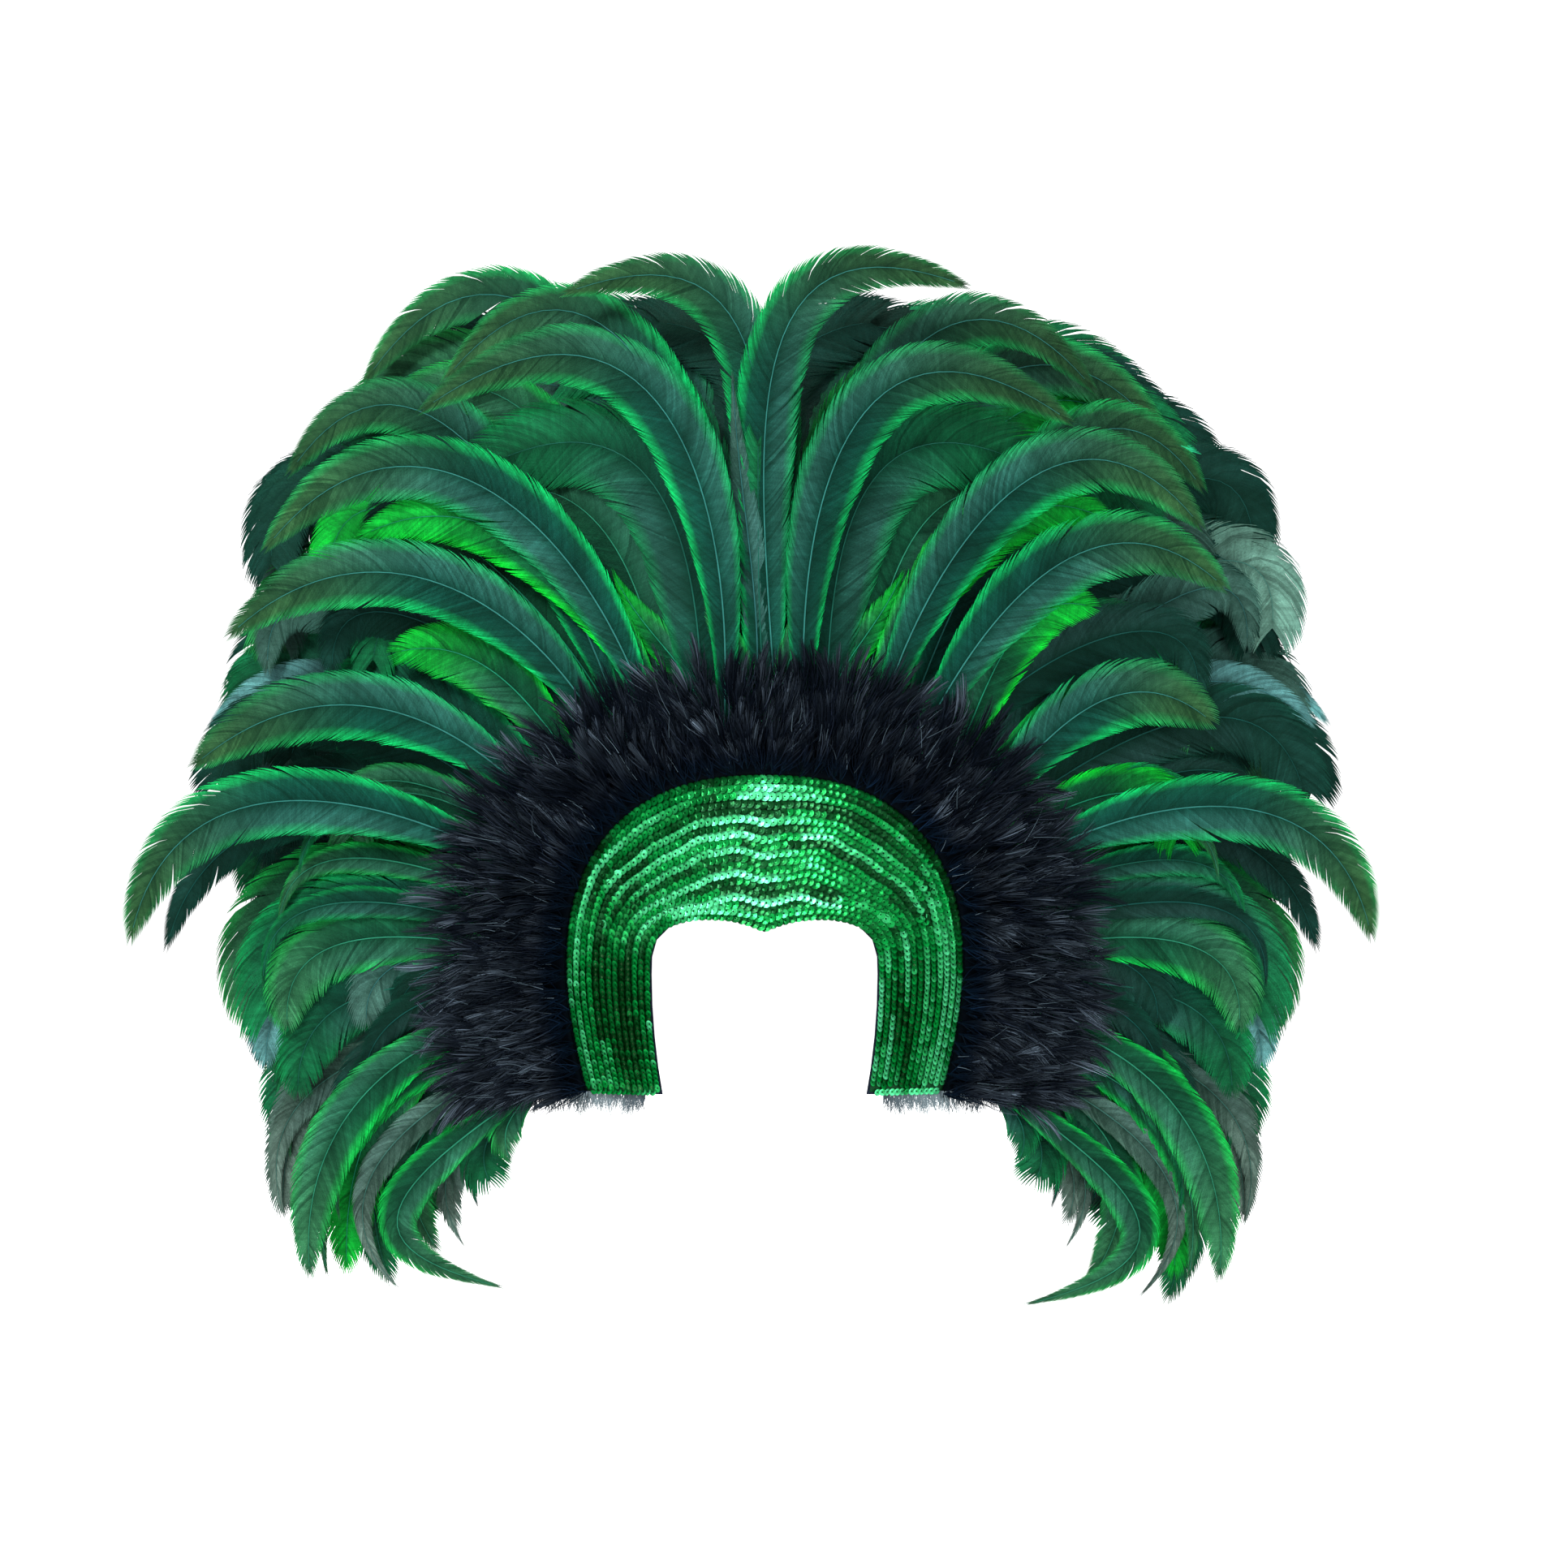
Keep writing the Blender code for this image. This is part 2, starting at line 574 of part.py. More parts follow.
def build():
    clear_scene()
    parts = make_collection("feather_headdress")
    guides = make_collection("plumes_fused_to_strips")
    felt = make_material("navy_felt", FELT_NAVY, 0.95)
    sequins = make_material("green_sequins", SEQUIN_GREEN, 0.22, 0.85)
    fur = make_material("navy_fur", FUR_NAVY, 0.80)
    green = make_material("green_plumes", PLUME_GREEN, 0.45)
    bright = make_material("bright_plumes", PLUME_BRIGHT, 0.45)
    dark = make_material("dark_plumes", PLUME_DARK, 0.50)
    tape = make_material("black_tape", STRIP_BLACK, 0.90)

    felt_base(felt, parts)
    sequin_panel(sequins, parts)
    fur_collar(fur, parts)

    for side, side_name in ((1.0, "right"), (-1.0, "left")):
        add_object(f"front_strip_{side_name}", strip_mesh(STRIPS[0], side, 0.0, LAST_STATION), tape, parts)
        for row in FRONT_PLUMES:
            colour = bright if row[0].startswith("bright") else green
            add_object(f"plume_{row[0]}_{side_name}", plume_of(row, side)[1], colour, parts)
        middle_rows = MIDDLE_PLUMES + (CENTRE_PLUMES if side > 0 else ())
        for strip, rows, colour in ((STRIPS[1], middle_rows, green), (STRIPS[2], back_rows(side), dark)):
            for sector, first, last in SECTORS:
                name = f"{strip[0]}_plumes_{sector}_{side_name}"
                base = add_object(name, strip_mesh(strip, side, first, last), colour, parts)
                fused = []
                for row in rows:
                    if first < row[1] <= last:
                        guide = bpy.data.objects.new(f"{row[0]}_{side_name}", bpy.data.meshes.new(row[0]))
                        mesh = plume_of(row, side)[1]
                        bmesh.ops.triangulate(mesh, faces=mesh.faces[:])
                        bmesh.ops.recalc_face_normals(mesh, faces=mesh.faces[:])
                        mesh.to_mesh(guide.data)
                        mesh.free()
                        fused.append(guide)
                fuse(base, fused, guides)


build()
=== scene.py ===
"""Feather headdress: the looks of its sequins, fur collar and plumes, laid over the solids of the part.

Everything is worked out in the frame of the part: metres, +Z up, the front faces -Y, and the origin lies
where the wearer's brow meets the back of the felt. Places round the arch are stations: 0 is the top, 90
the side, and the legs run on from there.
"""

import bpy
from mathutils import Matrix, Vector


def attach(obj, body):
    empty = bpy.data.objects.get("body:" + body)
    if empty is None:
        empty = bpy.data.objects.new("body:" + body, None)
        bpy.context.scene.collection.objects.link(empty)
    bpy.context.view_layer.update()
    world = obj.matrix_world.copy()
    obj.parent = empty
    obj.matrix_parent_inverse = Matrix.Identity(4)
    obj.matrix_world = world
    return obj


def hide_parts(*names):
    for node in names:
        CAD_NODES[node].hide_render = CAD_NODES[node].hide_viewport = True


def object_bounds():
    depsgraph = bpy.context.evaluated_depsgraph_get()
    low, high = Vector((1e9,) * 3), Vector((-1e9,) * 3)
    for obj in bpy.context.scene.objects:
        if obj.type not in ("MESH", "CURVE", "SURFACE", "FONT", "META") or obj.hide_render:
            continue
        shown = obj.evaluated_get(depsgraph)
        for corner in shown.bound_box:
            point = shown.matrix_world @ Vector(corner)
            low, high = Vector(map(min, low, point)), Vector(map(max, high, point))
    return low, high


bl_info = {
    "name": "Feather headdress",
    "version": (1, 0, 0),
    "blender": (4, 5, 0),
    "location": "View3D > Sidebar > Headdress",
    "description": "Sequins, fur collar and plumes of a carnival headdress",
    "category": "Object",
}

import bpy
import numpy as np

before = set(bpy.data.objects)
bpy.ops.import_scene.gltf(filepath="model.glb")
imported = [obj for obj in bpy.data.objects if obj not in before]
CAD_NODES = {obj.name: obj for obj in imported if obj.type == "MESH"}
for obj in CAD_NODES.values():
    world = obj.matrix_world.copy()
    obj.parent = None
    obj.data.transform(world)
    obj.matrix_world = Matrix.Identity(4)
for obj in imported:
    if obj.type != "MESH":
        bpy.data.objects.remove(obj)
CAD_BOX = [[float(value) for value in corner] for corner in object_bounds()]

# Forms shared with the solids: the panel and its opening, in metres
PANEL_HALF_WIDTH = 0.1205
PANEL_RISE = 0.120
PANEL_SQUARENESS = 2.4
OPENING_HALF_WIDTH = 0.070
OPENING_RISE = 0.038
OPENING_SQUARENESS = 3.4
PEAK_DROP = 0.0105
PEAK_SPREAD = 0.020
LEG_DROP = 0.071
LEG_TAPER_OUTSIDE = 0.0125
LEG_TAPER_INSIDE = 0.0065
FELT_THICKNESS = 0.003
FELT_EDGE = 0.0595
# Wrap back: slopes, and the distances across and up at which they start, reach their full and ease
SWEEP = 0.34
SWEEP_START = 0.015
SWEEP_FULL = 0.060
SWEEP_EASES = 0.185
SWEEP_SETTLES = 0.260
SETTLED_SWEEP = 0.15
CROWN_LEAN = 0.15
CROWN_LEAN_START = -0.020
CROWN_LEAN_FULL = 0.060
# Stations of the arch's half and of a leg, and the sectors of the fan between stations
ARCH_STATIONS = 90.0
LEG_STATIONS = 34.0
LAST_STATION = ARCH_STATIONS + LEG_STATIONS
SECTORS = (("crown", 0.0, 27.5), ("shoulder", 27.5, 62.0), ("side", 62.0, 90.0), ("low", 90.0, LAST_STATION))
# The three tapes: (first layer of plumes, number of layers), and how their layers stack and lean
STRIPS = ((0, 3), (3, 4), (7, 3))
STRIP_START = 0.0125
ROOT_PITCH = 0.0035
STACK_SLOPE = 0.43
LAYERS = 10
HALF_SPAN = 0.387
CROWN_HEIGHT = 0.432
FRONT_LEAN = 0.22
BACK_LEAN = -0.20
TIP_SWEEP = 0.32
ARCH_CENTRE = PEAK_DROP - OPENING_RISE

# Depth past which the plumes' wrap back counts half
EASED_DEPTH = 0.132

# Camera, from the photograph's frame
PIXEL = 0.00049
FRAME_PIXELS = 1932
ORIGIN_PIXEL = (942, 1145)
CAMERA_DISTANCE = 2.6
SENSOR_MM = 36.0

# Plumes of the front tape. Headings in degrees: 0 up, 90 outward, 180 down. Tips are shares of HALF_SPAN
# across and CROWN_HEIGHT up from the arch's centre.
# (name, station, leaving heading, arriving heading, width share, bow,
#  left layer, left across, left up, right layer, right across, right up, dye)
FRONT_PLUMES = (
    ("crest", 3.4, -3, 108, 0.98, 0.53, 2, 0.313, 0.968, 1, 0.314, 0.975, "sabre"),
    ("brow", 11.0, -5, 124, 1.02, 0.60, 0, 0.538, 0.802, 0, 0.478, 0.784, "sabre"),
    ("temple", 26.0, 13, 142, 1.08, 0.52, 1, 0.793, 0.609, 1, 0.691, 0.640, "sabre"),
    ("ear", 36.0, 22, 133, 1.08, 0.46, 0, 0.846, 0.482, 0, 0.725, 0.550, "sabre"),
    ("wing", 56.0, 38, 130, 1.08, 0.44, 1, 0.903, 0.297, 1, 0.706, 0.358, "sabre"),
    ("sweep", 68.0, 58, 168, 1.05, 0.46, 0, 1.000, 0.053, 0, 0.956, 0.057, "sabre"),
    ("bright_upper", 22.0, 19, 116, 1.00, 0.40, 2, 0.640, 0.625, 2, 0.545, 0.645, "bright"),
    ("bright_lower", 44.0, 33, 104, 0.95, 0.38, 2, 0.585, 0.455, 2, 0.517, 0.520, "bright"),
    ("cheek", 101.0, 97, 186, 0.84, 0.42, 1, 0.718, -0.424, 1, 0.718, -0.426, "leaf"),
    ("jaw", 118.0, 124, 258, 0.66, 0.84, 0, 0.418, -0.436, 0, 0.415, -0.460, "leaf"),
)

# Plumes of the middle tape, with the same columns
MIDDLE_PLUMES = (
    ("second_crest", 7.5, 0, 140, 1.00, 0.56, 4, 0.513, 0.859, 4, 0.527, 0.844, "sabre"),
    ("outer_crest", 15.0, 2, 146, 1.06, 0.58, 6, 0.653, 0.865, 6, 0.663, 0.759, "sabre"),
    ("broad_dark", 15.5, -2, 112, 1.30, 0.52, 2.4, 0.420, 0.730, 2.4, 0.395, 0.730, "bottle"),
    ("broad_green", 23.0, 4, 118, 1.25, 0.50, 3, 0.500, 0.660, 3, 0.460, 0.660, "leaf"),
    ("high_edge", 31.0, 18, 146, 1.04, 0.50, 4, 0.769, 0.726, 4, 0.705, 0.700, "sabre"),
    ("hanging_edge", 34.5, 26, 184, 1.15, 0.48, 6, 0.807, 0.590, 6, 0.795, 0.490, "dark"),
    ("hanging_inner", 40.0, 30, 183, 1.00, 0.46, 3, 0.693, 0.431, 3, 0.693, 0.398, "dark"),
    ("hanging_outer", 47.0, 40, 184, 1.00, 0.46, 5, 0.805, 0.437, 5, 0.780, 0.470, "slate"),
    ("pale_point", 52.0, 50, 132, 0.75, 0.40, 6, 0.896, 0.357, 6, 0.887, 0.357, "pale"),
    ("broad_wing", 57.5, 52, 164, 1.05, 0.44, 4, 0.880, 0.268, 4, 0.863, 0.263, "dark"),
    ("dark_point", 66.0, 60, 165, 0.75, 0.44, 5, 0.963, 0.037, 5, 0.884, 0.038, "dark"),
    ("pale_edge", 73.0, 68, 190, 1.15, 0.46, 6, 0.821, -0.041, 6, 0.804, -0.041, "leaf"),
    ("slate_side", 79.0, 74, 186, 1.15, 0.46, 4, 0.790, -0.060, 4, 0.785, -0.060, "bottle"),
    ("green_side", 85.0, 80, 184, 1.05, 0.44, 3, 0.760, -0.075, 3, 0.755, -0.075, "leaf"),
    ("teal_side", 89.0, 83, 180, 1.00, 0.44, 5, 0.800, -0.130, 5, 0.796, -0.130, "pale"),
    ("dark_side", 93.5, 88, 180, 1.05, 0.44, 4, 0.745, -0.170, 4, 0.745, -0.170, "bottle"),
    ("grey_edge", 97.5, 93, 180, 0.95, 0.44, 6, 0.776, -0.347, 6, 0.769, -0.352, "smoke"),
    ("green_low", 104.0, 100, 182, 1.00, 0.44, 3, 0.664, -0.420, 3, 0.650, -0.425, "bright"),
    ("slate_low", 109.0, 106, 200, 1.00, 0.46, 5, 0.600, -0.436, 5, 0.645, -0.464, "bottle"),
    ("thin_low", 114.0, 116, 214, 0.65, 0.52, 3, 0.520, -0.390, 3, 0.513, -0.440, "leaf"),
    ("grey_low", 120.0, 138, 202, 0.50, 0.40, 5, 0.490, -0.360, 5, 0.480, -0.350, "smoke"),
)

# Upright plumes between the two halves of the fan, carried by the right crown
CENTRE_PLUMES = (
    ("centre_leaf", 1.3, -6, 0, 0.56, 0.40, 0.9, -0.010, 0.745, 0.9, -0.010, 0.745, "bottle"),
    ("centre_left", 1.0, -10, -24, 0.44, 0.40, 0.4, -0.085, 0.520, 0.4, -0.085, 0.520, "leaf"),
    ("centre_right", 1.6, 6, 20, 0.44, 0.40, 0.2, 0.075, 0.530, 0.2, 0.075, 0.530, "leaf"),
    ("centre_spire", 1.3, -3, 0, 0.55, 0.40, 6, 0.0, 0.890, 6, 0.0, 0.890, "dark"),
)

# Small feathers between and under them, on both sides
SMALL_PLUMES = (
    ("notch_edge", 3.0, -2, 2, 0.42, 0.40, 4.5, 0.040, 0.952, 4.5, 0.052, 0.930, "bottle"),
    ("grey_tuft", 2.6, -5, 3, 0.46, 0.40, 0.8, 0.050, 0.835, 1.8, 0.030, 0.800, "slate"),
    ("under_crest", 5.0, -1, 108, 1.05, 0.52, 7.5, 0.290, 0.915, 7.5, 0.270, 0.915, "dark"),
    ("under_brow", 9.0, 0, 124, 1.05, 0.52, 7.5, 0.420, 0.895, 7.5, 0.415, 0.880, "bottle"),
    ("teal_small", 9.0, -6, 18, 0.46, 0.40, 2.7, 0.195, 0.640, 2.7, 0.165, 0.640, "teal"),
    ("green_inner", 14.0, 2, 24, 0.50, 0.40, 2.6, 0.235, 0.560, 2.6, 0.215, 0.560, "bright"),
    ("edge_hang", 88.0, 84, 196, 0.70, 0.44, 5.5, 0.805, -0.060, 5.5, 0.800, -0.075, "pale"),
    ("low_long", 104.5, 98, 196, 0.62, 0.44, 5.5, 0.775, -0.345, 5.5, 0.770, -0.360, "smoke"),
    ("low_bright", 108.0, 102, 190, 0.62, 0.46, 2.5, 0.695, -0.425, 2.5, 0.672, -0.430, "leaf"),
    ("low_wisp", 113.0, 112, 224, 0.48, 0.48, 2.5, 0.585, -0.442, 2.5, 0.600, -0.452, "smoke"),
    ("under_grey", 119.0, 128, 214, 0.34, 0.44, 4.5, 0.478, -0.385, 4.5, 0.480, -0.385, "smoke"),
    ("under_dark", 121.0, 130, 200, 0.30, 0.44, 5.5, 0.455, -0.330, 5.5, 0.455, -0.330, "dark"),
    ("under_thin", 116.0, 120, 204, 0.34, 0.44, 4.5, 0.540, -0.400, 4.5, 0.545, -0.410, "smoke"),
    ("under_short", 122.5, 134, 186, 0.30, 0.40, 6.5, 0.475, -0.265, 6.5, 0.470, -0.265, "dark"),
)

# Plumes on the right alone, with the columns of the tables
RIGHT_PLUMES = (
    ("mint_tip", 24.0, 12, 112, 0.90, 0.42, 7, 0.700, 0.755, 7, 0.700, 0.755, "mint"),
    ("pale_broad", 43.0, 32, 186, 1.20, 0.46, 6, 0.826, 0.495, 6, 0.826, 0.495, "frost"),
    ("blue_point", 55.0, 52, 140, 0.55, 0.42, 7, 0.915, 0.360, 7, 0.915, 0.360, "pale"),
    ("olive_edge", 59.0, 54, 168, 1.05, 0.44, 7, 0.892, 0.262, 7, 0.892, 0.262, "dark"),
)

# Line of the fan's back plumes: (station, leaving heading, arriving heading, across, up)
FAN_GUIDES = np.array([
    (0.0, 0, 70, 0.110, 0.930),
    (6.0, 1, 110, 0.330, 0.950),
    (12.0, 3, 124, 0.530, 0.905),
    (25.0, 14, 150, 0.735, 0.770),
    (33.0, 24, 176, 0.800, 0.630),
    (40.0, 32, 176, 0.806, 0.540),
    (55.0, 48, 168, 0.850, 0.350),
    (70.0, 62, 174, 0.838, 0.130),
    (85.0, 78, 184, 0.815, -0.070),
    (100.0, 94, 184, 0.780, -0.315),
    (112.0, 110, 194, 0.690, -0.405),
    (124.0, 140, 208, 0.500, -0.345),
])

# The bow of its plumes, and how much shorter each second and third one is on the right
FAN_BOW = 0.42
RIGHT_SHORTER = 0.012
# The sectors in which they are broad
BROAD_SECTORS = ("crown", "shoulder")

# Sign across and word of each side, in the order that their pieces are made
SIDES = ((1.0, "right"), (-1.0, "left"))

# Breadth along the length: (share of the length, share of the full width)
SABRE_BREADTH = (
    (0.00, 0.08), (0.12, 0.36), (0.26, 0.70), (0.40, 0.94), (0.52, 1.00), (0.68, 0.92), (0.80, 0.70),
    (0.92, 0.38), (1.00, 0.06),
)
SLIM_BREADTH = (
    (0.00, 0.10), (0.15, 0.50), (0.35, 0.90), (0.50, 1.00), (0.66, 0.74), (0.82, 0.38), (0.92, 0.16),
    (1.00, 0.04),
)
BROAD_BREADTH = (
    (0.00, 0.10), (0.12, 0.60), (0.26, 0.94), (0.50, 1.08), (0.76, 1.04), (0.92, 0.82), (1.00, 0.45),
)

# Dyes, as linear colours: vane by the quill, edge, tip, quill, and how strongly the edge shows. A bright edge is
# partly the dye's own green and partly painted light shining through the thin barbs
DYES = {
    "sabre": ((0.0022, 0.031, 0.023), (0.0024, 0.330, 0.075), (0.0160, 0.046, 0.013), (0.020, 0.120, 0.105), 0.85),
    "bright": ((0.0028, 0.048, 0.019), (0.0022, 0.420, 0.022), (0.0020, 0.300, 0.018), (0.008, 0.150, 0.080), 1.00),
    "bottle": ((0.0020, 0.026, 0.018), (0.0022, 0.230, 0.054), (0.0030, 0.070, 0.022), (0.008, 0.070, 0.050), 0.85),
    "dark": ((0.0017, 0.0100, 0.0085), (0.0022, 0.036, 0.022), (0.0030, 0.016, 0.013), (0.005, 0.045, 0.040), 0.65),
    "leaf": ((0.0035, 0.042, 0.019), (0.0032, 0.330, 0.044), (0.0200, 0.090, 0.038), (0.015, 0.140, 0.080), 0.95),
    "frost": ((0.0320, 0.088, 0.068), (0.0800, 0.190, 0.145), (0.0950, 0.200, 0.158), (0.030, 0.120, 0.100), 0.60),
    "smoke": ((0.0260, 0.052, 0.042), (0.0560, 0.120, 0.090), (0.0850, 0.125, 0.105), (0.030, 0.090, 0.075), 0.60),
    "slate": ((0.0090, 0.037, 0.031), (0.0180, 0.074, 0.057), (0.0300, 0.070, 0.057), (0.018, 0.085, 0.085), 0.60),
    "pale": ((0.030, 0.100, 0.100), (0.060, 0.180, 0.165), (0.080, 0.220, 0.220), (0.040, 0.160, 0.170), 0.70),
    "teal": ((0.004, 0.070, 0.062), (0.006, 0.230, 0.120), (0.006, 0.300, 0.130), (0.008, 0.120, 0.110), 0.90),
    "mint": ((0.006, 0.110, 0.050), (0.012, 0.420, 0.170), (0.020, 0.450, 0.190), (0.020, 0.200, 0.120), 0.90),
}


# Forms of the headpiece, as arrays


def smooth_step(low, high, value):
    """0 below low, 1 above high, with a soft S between."""
    share = np.clip((value - low) / (high - low), 0.0, 1.0)
    return share * share * (3.0 - 2.0 * share)


def squared_radius(angle, half_width, rise, squareness):
    """Radius of a squared-off ellipse: the power sum of sine over width and cosine over rise, rooted."""
    across = (np.abs(np.sin(angle)) / half_width) ** squareness
    up = (np.abs(np.cos(angle)) / rise) ** squareness
    return (across + up) ** (-1.0 / squareness)


def band_edge(station, inner, offset=0.0):
    """[x, z] on the opening's edge or the panel's outer edge at signed stations, moved away from the band.

    Over the arch it is the squared ellipse at the station's angle, less the peak for the inner edge. Down
    the legs x tapers with a power of the share of the drop.
    """
    station = np.asarray(station, float)
    side, place = np.sign(station), np.abs(station)
    angle = np.radians(np.minimum(place, ARCH_STATIONS))
    down = np.clip((place - ARCH_STATIONS) / LEG_STATIONS, 0.0, None)
    if inner:
        radius = squared_radius(angle, OPENING_HALF_WIDTH, OPENING_RISE, OPENING_SQUARENESS) - offset
        leg_x = OPENING_HALF_WIDTH - LEG_TAPER_INSIDE * down**2 - offset
        peak = PEAK_DROP * np.exp(-radius * np.sin(angle) / PEAK_SPREAD)
    else:
        radius = squared_radius(angle, PANEL_HALF_WIDTH, PANEL_RISE, PANEL_SQUARENESS) + offset
        leg_x = PANEL_HALF_WIDTH - LEG_TAPER_OUTSIDE * down**1.6 + offset
        peak = 0.0
    on_arch = place <= ARCH_STATIONS
    x = np.where(on_arch, radius * np.sin(angle), leg_x)
    z = np.where(on_arch, ARCH_CENTRE + radius * np.cos(angle) - peak, ARCH_CENTRE - LEG_DROP * down)
    return np.array([side * x, z])


def distance_outside(x, z):
    """Distance outside the panel: radius less the edge's radius above the centre, and x beside the legs."""
    up = z - ARCH_CENTRE
    angle = np.arctan2(np.abs(x), np.maximum(up, 1e-9))
    above = np.hypot(x, up) - squared_radius(angle, PANEL_HALF_WIDTH, PANEL_RISE, PANEL_SQUARENESS)
    down = np.clip(-up / LEG_DROP, 0.0, 1.0)
    edge = PANEL_HALF_WIDTH - LEG_TAPER_OUTSIDE * down**1.6
    below = np.hypot(np.abs(x) - edge, np.maximum(-up - LEG_DROP, 0.0))
    return np.where(up >= 0.0, above, below)


def wrap_back(x, z):
    """How far the front's surface runs back: a slope that grows across, then eases, plus the crown's lean."""
    across = np.abs(x)
    grow = np.clip(across - SWEEP_START, 0.0, SWEEP_FULL - SWEEP_START)
    steady = np.clip(across - SWEEP_FULL, 0.0, None)
    ease = np.clip(across - SWEEP_EASES, 0.0, SWEEP_SETTLES - SWEEP_EASES)
    settled = np.clip(across - SWEEP_SETTLES, 0.0, None)
    swept = SWEEP * (grow**2 / (2 * (SWEEP_FULL - SWEEP_START)) + steady)
    swept -= (SWEEP - SETTLED_SWEEP) * (ease**2 / (2 * (SWEEP_SETTLES - SWEEP_EASES)) + settled)
    span = CROWN_LEAN_FULL - CROWN_LEAN_START
    lift = np.clip(z - CROWN_LEAN_START, 0.0, span)
    return swept + CROWN_LEAN * (lift**2 / (2 * span) + np.clip(z - CROWN_LEAN_FULL, 0.0, None))


def on_felt(x, z, height):
    """Points at heights in front of the felt's face, on a last axis of three.

    Past the eased depth, further depth counts half.
    """
    x, z, height = np.broadcast_arrays(x, z, height)
    back = wrap_back(x, z) - FELT_THICKNESS - height
    return np.stack([x, np.minimum(back, EASED_DEPTH + 0.5 * (back - EASED_DEPTH)), z], axis=-1)


def root_distance(layer):
    """Distance of a layer's quill roots outside the panel: the strips in turn, and a pitch for each layer."""
    gaps = sum(layer >= first for first, _ in STRIPS[1:])
    first = [first for first, _ in STRIPS if layer >= first][-1]
    start = STRIP_START + ROOT_PITCH * (first + gaps)
    return start + ROOT_PITCH * (layer - first + 0.4)


def layer_height(layer, distance):
    """Height of a layer: a rise over the strips, then a lean by layer, less a sweep with the square."""
    start, end = root_distance(layer), root_distance(LAYERS - 1)
    seat = 0.0026 if layer < STRIPS[1][0] else 0.0011
    rise = STACK_SLOPE * (np.clip(distance, start, end) - start)
    beyond = np.maximum(distance - FELT_EDGE, 0.0)
    lean = FRONT_LEAN + (BACK_LEAN - FRONT_LEAN) * layer / (LAYERS - 1)
    return seat + rise + lean * beyond - TIP_SWEEP * beyond**2


# Meshes


def add_object(name, data):
    """An object at the origin, unturned and unscaled, in the scene's collection."""
    obj = bpy.data.objects.new(name, data)
    bpy.context.scene.collection.objects.link(obj)
    return obj


def running_sum(steps):
    """Sums of the steps so far, from 0."""
    return np.concatenate([[0.0], np.cumsum(steps)])


def step_lengths(line):
    """Distances between neighbours in a line of points shaped (2, count)."""
    return np.linalg.norm(np.diff(line, axis=1), axis=0)


class Bundle:
    """Gathers many small sheets of points, with a tint for each point, into one mesh."""

    def __init__(self):
        self.points, self.quads, self.tints, self.barbs = [], [], [], []
        self.count = 0

    def add(self, grid, tint, barb=0.0, closed=False):
        """Adds sheets: points shaped (sheets, rows, columns, 3), with quads between neighbours.

        A closed sheet also joins its last column to its first.
        """
        sheets, rows, columns = grid.shape[:3]
        index = self.count + np.arange(sheets * rows * columns).reshape(sheets, rows, columns)
        ahead = np.roll(index, -1, axis=2) if closed else index[:, :, 1:]
        here = index if closed else index[:, :, :-1]
        quads = np.stack([here[:, :-1], ahead[:, :-1], ahead[:, 1:], here[:, 1:]], axis=-1)
        self.points.append(grid.reshape(-1, 3))
        self.quads.append(quads.reshape(-1, 4))
        self.tints.append(np.broadcast_to(tint, grid.shape).reshape(-1, 3))
        self.barbs.append(np.broadcast_to(barb, grid.shape).reshape(-1, 3))
        self.count += sheets * rows * columns

    def add_slab(self, top, low, tint):
        """Adds a band with a top and an underside, closed round both long edges."""
        ring = np.concatenate([top, low[:, ::-1]], axis=1)
        self.add(ring[None, :, ::-1], tint, closed=True)

    def piece(self, name, material, replaced=(), smooth=True):
        """Makes the object at the origin, lets it ride on the headpiece and hides the parts that it replaces."""
        points, quads = np.concatenate(self.points), np.concatenate(self.quads)
        mesh = bpy.data.meshes.new(name)
        mesh.vertices.add(len(points))
        mesh.vertices.foreach_set("co", points.astype(np.float32).ravel())
        mesh.loops.add(quads.size)
        mesh.loops.foreach_set("vertex_index", quads.astype(np.int32).ravel())
        mesh.polygons.add(len(quads))
        mesh.polygons.foreach_set("loop_start", np.arange(0, quads.size, 4, dtype=np.int32))
        mesh.update(calc_edges=True)
        tints = np.clip(np.concatenate(self.tints), 0.0, 1.0)
        for attribute, kind, key, values in (
            ("tint", "FLOAT_COLOR", "color", np.pad(tints, ((0, 0), (0, 1)), constant_values=1.0)),
            ("barb", "FLOAT_VECTOR", "vector", np.concatenate(self.barbs)),
        ):
            layer = mesh.attributes.new(attribute, kind, "POINT")
            layer.data.foreach_set(key, values.astype(np.float32).ravel())
        mesh.polygons.foreach_set("use_smooth", np.full(len(quads), smooth))
        mesh.materials.append(material)
        obj = add_object(name, mesh)
        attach(obj, "root")
        if replaced:
            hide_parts(*replaced)


# Plumes

# Shares of a barb's length at which its ribbon has points
BARB_STEPS = np.array([0.0, 0.22, 0.48, 0.74, 0.88, 1.0])
# Share of the quill that is bare, and the fewest barbs of a side
BARE_QUILL = 0.04
FEWEST_BARBS = 24
# How much wider the barbs' pitch gets, and how much further splits open, for each layer back
COARSER = 0.04
LOOSER = 0.012
# Radians of the three slow waves along a vane, and how far they move its edge
VANE_WAVES = (9.0, 21.0, 47.0)
EDGE_WAVE = 0.040
# Spread of the barbs' places, as a share of their pitch, and of their reach outward and forward
PLACE_SPREAD = 0.04
REACH_SPREAD = 0.014
FORWARD_SPREAD = 0.012
# Heights: how the vane rolls, its barbs lift and its edge curls
ROLL_SPREAD = 0.05
LIFT_SPREAD = 0.00035
EDGE_CURL = 0.0014
# A plume's weaker side, and the painted sheen, a grey-green highlight over its middle, for a vane of the given
# green
WEAKER_SIDE = 0.6
PAINTED_SHEEN = np.array([0.0085, 0.016, 0.017])
PAINTED_SHEEN_GREEN = 0.036


